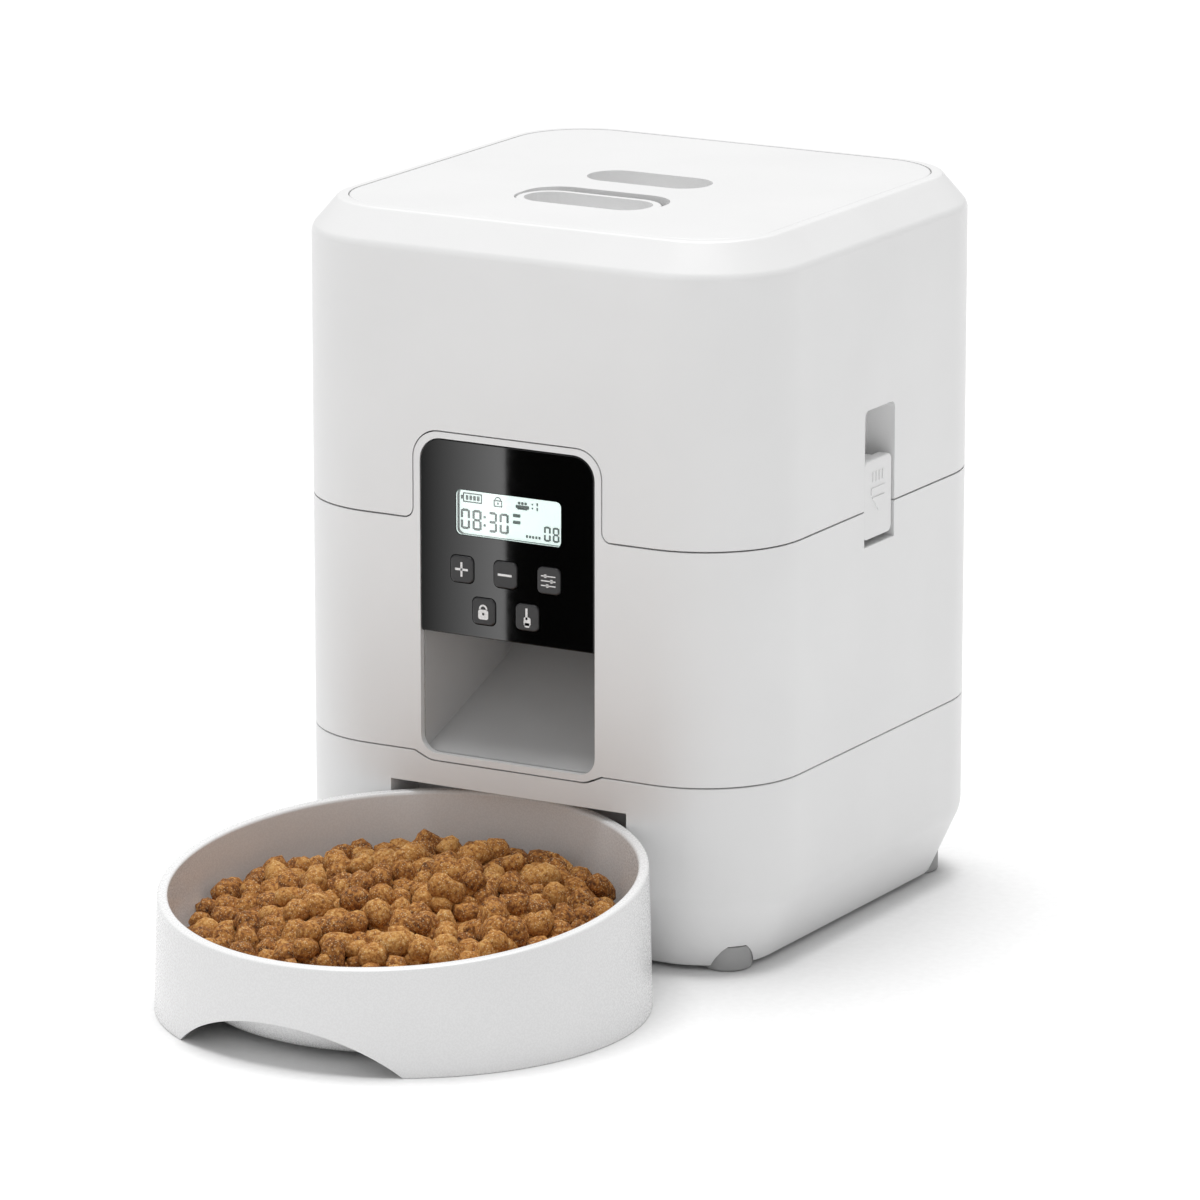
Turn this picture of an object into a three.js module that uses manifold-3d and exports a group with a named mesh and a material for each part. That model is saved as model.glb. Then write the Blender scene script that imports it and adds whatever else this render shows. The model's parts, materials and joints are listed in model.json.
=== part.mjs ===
// Automatic pet feeder: a square hopper with a hinged lid stands on a drive housing and a battery base,
// a vaned rotor meters dry food down a chute into a round bowl docked under the front face.
// Millimetres, +Z up, front face towards -Y. Inside this file the body's centre line is x = 0, y = 0 and
// the floor is z = 0; the exported group moves everything so that the origin is under the whole object.
import * as THREE from 'three';
import { mergeVertices } from 'three/addons/utils/BufferGeometryUtils.js';
import Module from 'manifold-3d';

const wasm = await Module();
wasm.setup();

// ---------------------------------------------------------------- driving dimensions
// Casing
const bodyWidth = 190;
const bodyDepth = 190;
const cornerRadius = 37.5;
const baseTop = 68.6;
const housingHeight = 83.5;
const hopperHeight = 106.5;
const wall = 2.4;
const seamGap = 0.5;
const fitGap = 0.3;
const baseEdge = 1.6;
const taperTop = 26.3;
const taperInset = 11.25;
const bevelDrop = 10.9;
const bevelInset = 9.3;
// Front face: control panel over the food outlet
const openingWidth = 70;
const outletSill = 68.4;
const outletTop = 112;
const panelHeight = 69.7;
const panelCornerRadius = 8.5;
const outletCornerRadius = 6.5;
const tabBorder = 2.5;
const tabCornerRadius = 10;
const tabFillet = 4;
const sillDrop = 2.4;
const windowWidth = 42;
const windowHeight = 16;
const windowCentre = { x: 0.6, z: 156.4 };
const buttonSize = { x: 9.2, z: 9.5 };
const buttonRadius = 2;
const buttonPitch = 17.4;
const buttonRowX = -0.5;
const buttonRowZ = 136.1;
const secondRowDrop = 14.1;
const buttonStand = 0.6;
const buttonTravel = 0.8;
// Feed mechanism
const drumCentreY = 12;
const drumRadius = 46;
const drumWall = 2;
const drumFloor = 116;
const drumSides = 32;
const rotorVanes = 6;
const vaneThickness = 1.8;
const shaftRadius = 3;
const chuteNarrowHalf = 27;
const chuteNarrowY = -51;
const chuteWall = 2;
const gearModule = 1.5;
const gearTeeth = 24;
const pinionTeeth = 10;
const gearFace = 5.8;
const motorRadius = 12;
const motorLength = 28;
const gearboxLength = 16;
// Base
const dockWidth = 95;
const dockTop = 57;
const dockDepth = 19;
const plateThickness = 2.2;
const footRadius = 8.7;
const footHeight = 8.9;
const footInset = { x: 20.8, y: 24.5 };
const cellRadius = 16.6;
const cellLength = 59.5;
const cellPitch = 34.5;
const bayWall = 2;
const bayEndRoom = 2.5;
const footCupWall = 1.6;
const screwBossRadius = 5;
const baySpringRoom = 7;
const screwInsetY = 38;
const jackHeight = 48;
const jackRadius = 4.2;
// Lid
const lidHalf = 82.5;
const lidCornerRadius = 27;
const lidThickness = 3.2;
const lidRest = 0.8;
const ledgeThickness = 2.4;
const hatchInset = 4.8;
const lidTrayDepth = 11.6;
const trayWall = 1.6;
const handleLength = 56;
const handleY = -35.6;
const handleCupLength = 49;
const handleCupWidth = 19.2;
const handleCupRim = 3.1;
const handleCupDepth = 11;
const handleTravel = 5;
const wellLength = 48;
const wellWidth = 21;
const wellY = 5.5;
const wellDepth = 11;
// Side latches
const latchY = 0.9;
const latchRecessWidth = 22.4;
const latchRecessBottom = 139.1;
const latchRecessTop = 188;
const latchRecessDepth = 11;
const latchTabWidth = 20.6;
const latchTabHeight = 28.2;
const latchTravel = 2.2;
const latchWedgeRise = 1.25;
// Bowl
const bowlRadius = 85.35;
const bowlRimRadius = 84;
const bowlRimInner = 80.3;
const bowlHeight = 45.5;
const bowlRimSlope = 0.11;
const bowlWall = 2.2;
const bowlBaseRadius = 60;
const bowlDockGap = 4.25;
const archHalfWidth = 44;
const archHeight = 17.6;

// ---------------------------------------------------------------- places worked out from them
const halfWidth = bodyWidth / 2;
const halfDepth = bodyDepth / 2;
const handleWidth = fitGap + handleCupWidth + 2 * handleCupRim + handleTravel + seamGap;
const frontY = -halfDepth;
const upperSeam = baseTop + housingHeight;
const bodyTop = upperSeam + hopperHeight;
const bevelStart = bodyTop - bevelDrop;
const openingHalf = openingWidth / 2;
const panelTop = outletTop + panelHeight;
const panelFlange = 1.2;
const panelFace = frontY + 0.1;
const panelBack = frontY + wall + fitGap + panelFlange;
const tabHalf = openingHalf + tabBorder;
const tabTop = panelTop + 2.2;
const sillBottom = outletSill - sillDrop;
const dockBackY = frontY + dockDepth;
const innerFrontY = frontY + wall;
const deckTop = upperSeam - 3.9;
const deckThickness = 2.2;
const drumTop = deckTop + fitGap + 1.6;
const drumBottom = drumFloor - 2.2;
const chuteTop = drumBottom - fitGap;
const chuteBackY = drumCentreY - 22.9;
const pitchRadius = gearModule * gearTeeth / 2;
const pinionPitchRadius = gearModule * pinionTeeth / 2;
const motorY = drumCentreY + pitchRadius + pinionPitchRadius;
const gearTop = drumBottom - 4.8;
const gearBottom = gearTop - gearFace;
const gearCaseFloor = gearBottom - 0.6;
const gearboxTop = gearCaseFloor - 1.8 - fitGap;
const plateBottom = baseEdge + fitGap;
const plateTop = plateBottom + plateThickness;
const bayHalf = cellPitch * 1.5 + 0.65;
const bayBackY = halfDepth - footInset.y - footRadius - footCupWall - 2 * fitGap - bayWall - 0.5;
const bayFrontY = bayBackY - cellLength - baySpringRoom - bayEndRoom;
const screwX = bayHalf + bayWall + screwBossRadius + 1.6;
const screwY = halfDepth - screwInsetY;
const cellZ = plateTop + 2 * fitGap + cellRadius;
const bayRoof = cellZ + cellRadius + 0.8;
const lidBottom = bodyTop - lidThickness;
const ledgeTop = lidBottom - lidRest;
const ledgeBottom = ledgeTop - ledgeThickness;
const hatchHalf = lidHalf + fitGap - hatchInset;
const hatchRadius = lidCornerRadius - hatchInset;
const trayHalf = hatchHalf - 2;
const trayBottom = lidBottom - fitGap - lidTrayDepth;
const latchTabBottom = latchRecessBottom + latchTravel;
const latchTabTop = latchTabBottom + latchTabHeight;
const bowlY = frontY + dockDepth - bowlDockGap - bowlRadius;
const bowlShrink = (bowlRadius - bowlRimRadius) / bowlHeight;
const bowlFrontY = bowlY - bowlRadius + bowlShrink * archHeight;
const originShiftY = -(bowlFrontY + halfDepth) / 2;

// ---------------------------------------------------------------- solids
function solid(geometry) {
  geometry.deleteAttribute('normal');
  geometry.deleteAttribute('uv');
  const merged = mergeVertices(geometry, 1e-4);
  return new wasm.Manifold(new wasm.Mesh({
    numProp: 3,
    vertProperties: merged.attributes.position.array,
    triVerts: new Uint32Array(merged.index.array),
  }));
}

function join(first, ...others) {
  return others.reduce((all, next) => all.add(next), first);
}

function cut(body, ...tools) {
  return tools.reduce((left, tool) => left.subtract(tool), body);
}

// A block between two corners.
function block(low, high) {
  const size = low.map((value, axis) => high[axis] - value);
  const middle = low.map((value, axis) => (high[axis] + value) / 2);
  return solid(new THREE.BoxGeometry(...size).translate(...middle));
}

// An upright cylinder, with as many sides as it needs.
function post(radius, x, y, low, high, sides = 16) {
  const geometry = new THREE.CylinderGeometry(radius, radius, high - low, sides);
  return solid(geometry.rotateX(Math.PI / 2).translate(x, y, (high + low) / 2));
}

// A cylinder along Y.
function barrel(radius, x, z, front, back, sides = 20) {
  const geometry = new THREE.CylinderGeometry(radius, radius, back - front, sides);
  return solid(geometry.translate(x, (front + back) / 2, z));
}

// A rounded rectangle about a centre; the straight sides may have no length.
function roundedRectangle(halfX, halfY, radius, x = 0, y = 0) {
  const shape = new THREE.Shape();
  const quarter = Math.PI / 2;
  const corners = [[1, 1], [-1, 1], [-1, -1], [1, -1]];
  corners.forEach(([signX, signY], turn) => {
    const cornerX = x + signX * (halfX - radius);
    const cornerY = y + signY * (halfY - radius);
    shape.absarc(cornerX, cornerY, radius, turn * quarter, (turn + 1) * quarter, false);
  });
  return shape;
}

// A flat outline given in X and Y, raised between two heights.
function raised(shape, low, high, curveSegments = 3) {
  const options = { depth: high - low, bevelEnabled: false, curveSegments };
  const geometry = new THREE.ExtrudeGeometry(shape, options);
  return solid(geometry.translate(0, 0, low));
}

// An outline given in X and Z, pushed through the body along Y.
function pushedBack(shape, front, back, curveSegments = 3) {
  const options = { depth: back - front, bevelEnabled: false, curveSegments };
  const geometry = new THREE.ExtrudeGeometry(shape, options);
  return solid(geometry.rotateX(Math.PI / 2).translate(0, back, 0));
}

// An outline given in Y and Z, pushed across the body along X.
function pushedAcross(shape, left, right) {
  const options = { depth: right - left, bevelEnabled: false, curveSegments: 3 };
  const geometry = new THREE.ExtrudeGeometry(shape, options);
  geometry.rotateY(Math.PI / 2).rotateX(Math.PI / 2);
  return solid(geometry.translate(left, 0, 0));
}

function polygon(points) {
  return new THREE.Shape(points.map(([a, b]) => new THREE.Vector2(a, b)));
}

// A skin through rounded rectangles of any size at rising heights, closed at both ends.
function loft(rings) {
  const unit = roundedRectangle(2, 2, 1);
  const steps = rings.length - 1;
  const options = { depth: steps, steps, bevelEnabled: false, curveSegments: 3 };
  const geometry = new THREE.ExtrudeGeometry(unit, options);
  const place = geometry.attributes.position;
  for (let i = 0; i < place.count; i += 1) {
    const ring = rings[Math.round(place.getZ(i))];
    const sideX = Math.sign(place.getX(i));
    const sideY = Math.sign(place.getY(i));
    const towardsX = place.getX(i) - sideX;
    const towardsY = place.getY(i) - sideY;
    const radius = ring.radius;
    const x = (ring.x ?? 0) + sideX * (ring.halfX - radius) + towardsX * radius;
    const y = (ring.y ?? 0) + sideY * (ring.halfY - radius) + towardsY * radius;
    place.setXYZ(i, x, y, ring.z);
  }
  return solid(geometry);
}

// How far the casing stands in from its full width at a height.
function insetAt(z) {
  const below = Math.max(0, taperTop - z) * taperInset / (taperTop - baseEdge);
  const above = Math.max(0, z - bevelStart) * bevelInset / bevelDrop;
  return below + above;
}

// The casing's outline at each height, moved in by a margin.
function casing(heights, margin = 0) {
  return loft(heights.map((z) => {
    const inset = insetAt(z) + margin;
    return { z, halfX: halfWidth - inset, halfY: halfDepth - inset, radius: cornerRadius - inset };
  }));
}

function squareBlock(half, radius, low, high) {
  return raised(roundedRectangle(half, half, radius), low, high);
}

function stadium(length, width, y) {
  return roundedRectangle(length / 2, width / 2, width / 2 - 0.01, 0, y);
}

function turned(points, x = 0, y = 0, sides = 16) {
  const profile = points.map(([radius, z]) => new THREE.Vector2(radius, z));
  return solid(new THREE.LatheGeometry(profile, sides).rotateX(Math.PI / 2).translate(x, y, 0));
}

// A coil spring along +Z from the origin.
class Helix extends THREE.Curve {
  constructor(radius, endRadius, length, turns) {
    super();
    Object.assign(this, { radius, endRadius, length, turns });
  }

  getPoint(t) {
    const angle = t * this.turns * 2 * Math.PI;
    const radius = this.radius + (this.endRadius - this.radius) * t;
    return new THREE.Vector3(radius * Math.cos(angle), radius * Math.sin(angle), t * this.length);
  }
}

function coil({ radius, endRadius = radius, length, turns, wire }) {
  const section = new THREE.Shape().absarc(0, 0, wire / 2, 0, 2 * Math.PI, false);
  const path = new Helix(radius, endRadius, length - wire, turns);
  const geometry = new THREE.ExtrudeGeometry(section, {
    steps: Math.round(turns * 8), extrudePath: path, curveSegments: 2, bevelEnabled: false,
  });
  return geometry.translate(0, 0, wire / 2);
}

// An involute spur gear's outline, its first tooth centred on the angle given.
function gearOutline(teeth, firstTooth) {
  const pressure = 25 * Math.PI / 180;
  const pitch = gearModule * teeth / 2;
  const base = pitch * Math.cos(pressure);
  const tip = pitch + 0.8 * gearModule;
  const root = pitch - 1.15 * gearModule;
  const backlash = 0.16;
  const involute = (radius) => {
    const angle = Math.acos(Math.min(1, base / radius));
    return Math.tan(angle) - angle;
  };
  const halfTooth = (Math.PI * gearModule / 2 - backlash) / 2 / pitch + involute(pitch);
  const flank = [0, 0.5, 1].map((share) => {
    const radius = Math.max(base, root) + (tip - Math.max(base, root)) * share;
    return { radius, angle: halfTooth - involute(radius) };
  });
  const points = [];
  for (let tooth = 0; tooth < teeth; tooth += 1) {
    const middle = firstTooth + tooth * 2 * Math.PI / teeth;
    const up = flank.map(({ radius, angle }) => [radius, middle - angle]);
    const down = flank.map(({ radius, angle }) => [radius, middle + angle]).reverse();
    points.push([root, middle - flank[0].angle], ...up, ...down, [root, middle + flank[0].angle]);
  }
  return polygon(points.map(([radius, angle]) => [radius * Math.cos(angle), radius * Math.sin(angle)]));
}

// ---------------------------------------------------------------- materials
function plastic(color, roughness = 0.4) {
  return () => new THREE.MeshStandardMaterial({ color, roughness, metalness: 0 });
}

function metal(color, roughness = 0.35) {
  return () => new THREE.MeshStandardMaterial({ color, roughness, metalness: 1 });
}

const whiteAbs = plastic('#f1f1f0', 0.42);
const bowlPlastic = plastic('#ededec', 0.38);
const greyPlastic = plastic('#8b8c8d', 0.5);
const innerPlastic = plastic('#d9d9d8', 0.5);
const clearPlastic = plastic('#cfd6d8', 0.2);
const blackGloss = plastic('#0b0b0c', 0.08);
const charcoal = plastic('#2e2e2f', 0.45);
const displayPlastic = plastic('#dff0ec', 0.3);
const boardGreen = plastic('#1f5a37', 0.5);
const silicone = plastic('#b9b9b6', 0.7);
const vaneRubber = plastic('#5f6366', 0.75);
const gearPlastic = plastic('#e6dfcf', 0.45);
const steel = metal('#b9bcbf');
const cellJacket = metal('#b58a3c', 0.4);

const feeder = new THREE.Group();
feeder.position.y = originShiftY;

function add(name, body, material) {
  const made = body.getMesh();
  const geometry = new THREE.BufferGeometry();
  geometry.setAttribute('position', new THREE.BufferAttribute(new Float32Array(made.vertProperties), 3));
  geometry.setIndex(new THREE.BufferAttribute(new Uint32Array(made.triVerts), 1));
  geometry.computeVertexNormals();
  const mesh = new THREE.Mesh(geometry, material());
  mesh.name = name;
  feeder.add(mesh);
}

const sides = { left: -1, right: 1 };
const ends = { front: -1, rear: 1 };

// ---------------------------------------------------------------- front outlines shared by the casings
// The upper edge of the drive housing rises round the panel as a tab, with a fillet each side.
function tabOutline(margin) {
  const half = tabHalf + margin;
  const radius = tabCornerRadius + margin;
  const fillet = tabFillet - margin;
  const top = tabTop + margin;
  const foot = upperSeam - seamGap / 2 + margin;
  const shape = new THREE.Shape();
  shape.moveTo(-half - fillet, foot - 12);
  shape.lineTo(half + fillet, foot - 12);
  shape.lineTo(half + fillet, foot);
  shape.absarc(half + fillet, foot + fillet, fillet, -Math.PI / 2, -Math.PI, true);
  shape.absarc(half - radius, top - radius, radius, 0, Math.PI / 2, false);
  shape.absarc(radius - half, top - radius, radius, Math.PI / 2, Math.PI, false);
  shape.absarc(-half - fillet, foot + fillet, fillet, 0, -Math.PI / 2, true);
  return shape;
}

// Its lower edge dips under the outlet as a sill.
function sillOutline(margin) {
  const bottom = sillBottom - margin;
  const edge = baseTop + seamGap / 2 - margin;
  return polygon([
    [-tabHalf - margin, edge + 8], [-tabHalf - margin, edge], [4 - openingHalf - margin, bottom],
    [openingHalf - 4 + margin, bottom], [tabHalf + margin, edge], [tabHalf + margin, edge + 8],
  ]);
}

// Panel and outlet share one opening, with larger corners at the top.
function openingOutline(low, high, half, lowRadius, highRadius) {
  const shape = new THREE.Shape();
  shape.absarc(half - highRadius, high - highRadius, highRadius, 0, Math.PI / 2, false);
  shape.absarc(highRadius - half, high - highRadius, highRadius, Math.PI / 2, Math.PI, false);
  shape.absarc(lowRadius - half, low + lowRadius, lowRadius, Math.PI, Math.PI * 1.5, false);
  shape.absarc(half - lowRadius, low + lowRadius, lowRadius, Math.PI * 1.5, Math.PI * 2, false);
  return shape;
}

// The box of a latch recess on one side, grown by a margin and kept between two heights.
function latchBox(side, margin, low, high) {
  const face = side * (halfWidth + 1);
  const back = side * (halfWidth - latchRecessDepth - margin);
  const half = latchRecessWidth / 2 + margin;
  return block(
    [Math.min(face, back), latchY - half, low],
    [Math.max(face, back), latchY + half, high],
  );
}

// ---------------------------------------------------------------- base
function footPlaces() {
  return Object.entries(ends).flatMap(([end, signY]) => Object.entries(sides).map(([side, signX]) => ({
    name: `${end}_${side}`,
    x: signX * (halfWidth - footInset.x),
    y: signY * (halfDepth - footInset.y),
    bossX: signX * screwX,
    bossY: signY * screwY,
  })));
}

const screwShank = 1.5;
const screwHead = 3.1;
const plateBossTop = plateTop + 3.4;

function buildBase() {
  const seam = baseTop - seamGap / 2;
  const outer = casing([baseEdge, taperTop, seam]);
  let shell = cut(outer, casing([baseEdge - 2, taperTop, seam + 1], wall));
  const dockHalf = dockWidth / 2;
  const dockWall = block(
    [-dockHalf - wall, frontY - 1, baseEdge],
    [dockHalf + wall, dockBackY + wall, dockTop + wall],
  );
  shell = shell.add(outer.intersect(dockWall));
  for (const { x, y, bossX, bossY } of footPlaces()) {
    const cup = post(footRadius + fitGap + footCupWall, x, y, baseEdge, footHeight + fitGap + footCupWall);
    const boss = post(4, bossX, bossY, plateBossTop + fitGap, plateBossTop + 20, 10);
    const side = Math.sign(x) * halfWidth;
    const rib = block(
      [Math.min(bossX, side), bossY - 0.9, plateBossTop + 6],
      [Math.max(bossX, side), bossY + 0.9, plateBossTop + 20],
    );
    shell = join(shell, outer.intersect(cup), boss, outer.intersect(rib));
    shell = cut(
      shell,
      post(footRadius + fitGap, x, y, -1, footHeight + fitGap),
      post(screwShank + fitGap, bossX, bossY, plateBossTop, plateBossTop + 14, 8),
    );
  }
  const dock = block([-dockHalf, frontY - 2, -1], [dockHalf, dockBackY, dockTop]);
  const notch = pushedBack(sillOutline(seamGap), frontY - 1, innerFrontY + 1);
  const jackHole = barrel(jackRadius + fitGap, 0, jackHeight, halfDepth - wall - 1, halfDepth + 1);
  add('base_shell', cut(shell, dock, notch, jackHole), whiteAbs);

  // The bottom cover carries the battery bay.
  const cover = casing([plateBottom, plateTop], wall + fitGap);
  const bay = cut(
    block(
      [-bayHalf - bayWall, bayFrontY - bayWall, plateBottom],
      [bayHalf + bayWall, bayBackY + bayWall, bayRoof + 1.8],
    ),
    block([-bayHalf, bayFrontY, plateBottom - 1], [bayHalf, bayBackY, bayRoof]),
  );
  let plate = cut(cover, block([-bayHalf, bayFrontY, plateBottom - 1], [bayHalf, bayBackY, plateTop + 1]));
  plate = plate.add(bay);
  plate = plate.subtract(block(
    [-dockHalf - wall - fitGap, frontY, 0],
    [dockHalf + wall + fitGap, dockBackY + wall + fitGap, plateTop + 1],
  ));
  for (const { x, y, bossX, bossY } of footPlaces()) {
    plate = plate.add(post(screwBossRadius, bossX, bossY, plateBottom, plateBossTop, 12));
    plate = cut(
      plate,
      post(footRadius + fitGap * 2 + footCupWall, x, y, 0, plateTop + 1),
      post(screwHead + fitGap, bossX, bossY, 0, plateBossTop - 2.2, 10),
      post(screwShank + fitGap, bossX, bossY, 0, plateBossTop + 1, 8),
    );
  }
  add('base_plate', plate, whiteAbs);

  const doorGap = 0.7;
  const door = block(
    [-bayHalf + doorGap, bayFrontY + doorGap, plateBottom],
    [bayHalf - doorGap, bayBackY - doorGap, plateTop],
  );
  const grip = [0, 1, 2].map((row) => block(
    [-9, bayBackY - 7 - row * 3, plateBottom - 1],
    [9, bayBackY - 6 - row * 3, plateBottom + 0.8],
  ));
  add('battery_door', cut(door, ...grip), whiteAbs);

  for (const { name, x, y, bossX, bossY } of footPlaces()) {
    const edge = 0.8;
    add(`foot_${name}`, turned([
      [0, 0], [footRadius - edge, 0], [footRadius, edge], [footRadius, footHeight], [0, footHeight],
    ], x, y), greyPlastic);
    const headTop = plateBossTop - 2.2 - fitGap;
    add(`base_screw_${name}`, join(
      post(screwHead, bossX, bossY, headTop - 1.8, headTop, 10),
      post(screwShank, bossX, bossY, headTop - 1, headTop + 12, 8),
    ).subtract(block([bossX - 2, bossY - 0.4, 0], [bossX + 2, bossY + 0.4, headTop - 1.2])), steel);
  }

  const jackBack = halfDepth - wall - fitGap;
  add('dc_jack', join(
    barrel(jackRadius, 0, jackHeight, jackBack - 1, halfDepth - 0.2),
    block([-6, jackBack - 9, jackHeight - 6], [6, jackBack, jackHeight + 6]),
  ).subtract(barrel(2.9, 0, jackHeight, jackBack - 6, halfDepth + 1, 16)).add(
    barrel(1, 0, jackHeight, jackBack - 7, halfDepth - 1, 8),
  ), charcoal);
}

function buildCells() {
  const springLength = baySpringRoom - 1;
  const cellFront = bayFrontY + 1.6 + fitGap;
  for (let cell = 0; cell < 3; cell += 1) {
    const x = (cell - 1) * cellPitch;
    add(`battery_${cell + 1}`, join(
      barrel(cellRadius, x, cellZ, cellFront, cellFront + cellLength - 2),
      barrel(4.6, x, cellZ, cellFront - 1, cellFront, 12).translate([0, cellLength - 1.2, 0]),
    ), cellJacket);
    const spring = coil({ radius: 7, endRadius: 4, length: springLength, turns: 3, wire: 0.9 });
    spring.rotateX(Math.PI / 2).translate(x, bayBackY - 0.6, cellZ);
    add(`battery_spring_${cell + 1}`, solid(spring), steel);
  }
  add('battery_contact', block(
    [-cellPitch - 6, bayFrontY + fitGap, cellZ - 6],
    [cellPitch + 6, bayFrontY + fitGap + 1, cellZ + 6],
  ), steel);
}

// ---------------------------------------------------------------- drive housing and feed
function buildHousing() {
  const low = baseTop + seamGap / 2;
  const high = upperSeam - seamGap / 2;
  const ring = cut(casing([low, high]), casing([low - 1, high + 1], wall));
  const skin = cut(casing([baseEdge + taperTop, bevelStart]), casing([taperTop, bevelStart + 0.1], wall));
  const front = skin.intersect(block([-halfWidth, frontY - 1, 0], [halfWidth, innerFrontY + 0.5, bodyTop]));
  const tab = front.intersect(pushedBack(tabOutline(0), frontY - 1, innerFrontY + 1));
  const sill = front.intersect(pushedBack(sillOutline(0), frontY - 1, innerFrontY + 1));
  let housing = join(ring, tab, sill);
  const deckFrontY = innerFrontY + 16;
  const deckPlate = cut(
    casing([deckTop - deckThickness, deckTop], wall - 0.2),
    block([-tabHalf - 2, frontY, 0], [tabHalf + 2, deckFrontY, bodyTop]),
    post(drumRadius + drumWall + fitGap, 0, drumCentreY, 0, bodyTop, drumSides),
  );
  housing = housing.add(deckPlate);
  for (const side of Object.values(sides)) {
    const pocket = latchBox(side, wall - 0.8, latchRecessBottom - 1.6, high);
    housing = housing.add(pocket.intersect(casing([low, high])));
    housing = housing.subtract(latchBox(side, 0, latchRecessBottom, bodyTop));
    const { postOuter, postInner, windowLow, windowHigh, postTop } = latchPlan;
    const catchPost = cut(
      block([-postOuter, latchY - 5, deckTop - 1], [-postInner, latchY + 5, postTop]),
      block([-postOuter - 1, latchY - 3.4, windowLow], [-postInner + 1, latchY + 3.4, windowHigh]),
    );
    housing = housing.add(side < 0 ? catchPost : catchPost.translate([postOuter + postInner, 0, 0]));
  }
  const opening = openingOutline(outletSill, panelTop, openingHalf, outletCornerRadius, panelCornerRadius);
  housing = housing.subtract(pushedBack(opening, frontY - 1, innerFrontY + 1));
  add('middle_housing', housing, whiteAbs);
}

// Distances of the latch parts, each from the body's centre plane.
const latchPlan = {
  postOuter: halfWidth - 15.4,
  postInner: halfWidth - 17.4,
  postTop: upperSeam + 10.9,
  windowLow: upperSeam + 3.4,
  windowHigh: upperSeam + 8,
};

// The ramp rises in a straight line from the outlet's sill to the rear edge of the drum's drop.
const rampFoot = outletSill + fitGap;
const rampSlope = (drumFloor - rampFoot) / (drumCentreY - 24.5 - innerFrontY);
const rampThickness = 2.3;

function rampHeight(y) {
  return rampFoot + rampSlope * (y - innerFrontY);
}

function rampReaches(z) {
  return innerFrontY + (z - rampFoot) / rampSlope;
}

function buildChute() {
  const front = innerFrontY + fitGap;
  const inner = openingHalf - 0.4;
  const plan = (margin, low, high) => raised(polygon([
    [-inner - margin, front - margin], [inner + margin, front - margin],
    [chuteNarrowHalf + margin, chuteNarrowY], [chuteNarrowHalf + margin, chuteBackY + margin],
    [-chuteNarrowHalf - margin, chuteBackY + margin], [-chuteNarrowHalf - margin, chuteNarrowY],
  ]), low, high);
  const outside = pushedAcross(polygon([
    [front, rampHeight(front) - rampThickness], [rampReaches(chuteTop + rampThickness), chuteTop],
    [front, chuteTop],
  ]), -halfWidth, halfWidth);
  const dropFrontY = drumCentreY - drumRadius - 2;
  const inside = pushedAcross(polygon([
    [front - 5, rampHeight(front - 5)], [rampReaches(chuteTop + 9), chuteTop + 9],
    [dropFrontY, chuteTop + 9],
    [dropFrontY, outletTop], [front - 5, outletTop],
  ]), -halfWidth, halfWidth);
  const body = plan(chuteWall, 0, bodyTop).intersect(outside);
  const hollow = plan(0, -10, bodyTop).add(
    block([-inner, front - 4, 0], [inner, front + 0.01, bodyTop]),
  ).intersect(inside);
  const panelRoom = block([-halfWidth, frontY, outletTop], [halfWidth, panelBack + fitGap, bodyTop]);
  add('outlet_chute', cut(body, hollow, panelRoom), innerPlastic);
}

function buildDrum() {
  const outer = drumRadius + drumWall;
  const body = join(
    post(outer, 0, drumCentreY, drumBottom, drumTop - 0.5, drumSides),
    post(outer + 8, 0, drumCentreY, deckTop + fitGap, drumTop, drumSides),
  );
  const dropHalf = chuteNarrowHalf - 3;
  const drop = post(drumRadius, 0, drumCentreY, drumBottom - 1, drumFloor + 1, drumSides).intersect(block(
    [-dropHalf, drumCentreY - drumRadius, 0],
    [dropHalf, drumCentreY - 27, bodyTop],
  ));
  const bush = post(shaftRadius + 2 + fitGap, 0, drumCentreY, drumBottom - 1, drumFloor + 1, 16);
  const bore = post(drumRadius, 0, drumCentreY, drumFloor, bodyTop, drumSides);
  add('drum', cut(body, bore, drop, bush), innerPlastic);
  add('shaft_bush', cut(
    join(
      post(shaftRadius + 2, 0, drumCentreY, drumBottom - 2.4, drumFloor - 0.4, 16),
      post(shaftRadius + 4, 0, drumCentreY, drumBottom - 2.4, drumBottom - fitGap, 16),
    ),
    post(shaftRadius + fitGap, 0, drumCentreY, 0, bodyTop, 16),
  ), gearPlastic);
}

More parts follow.
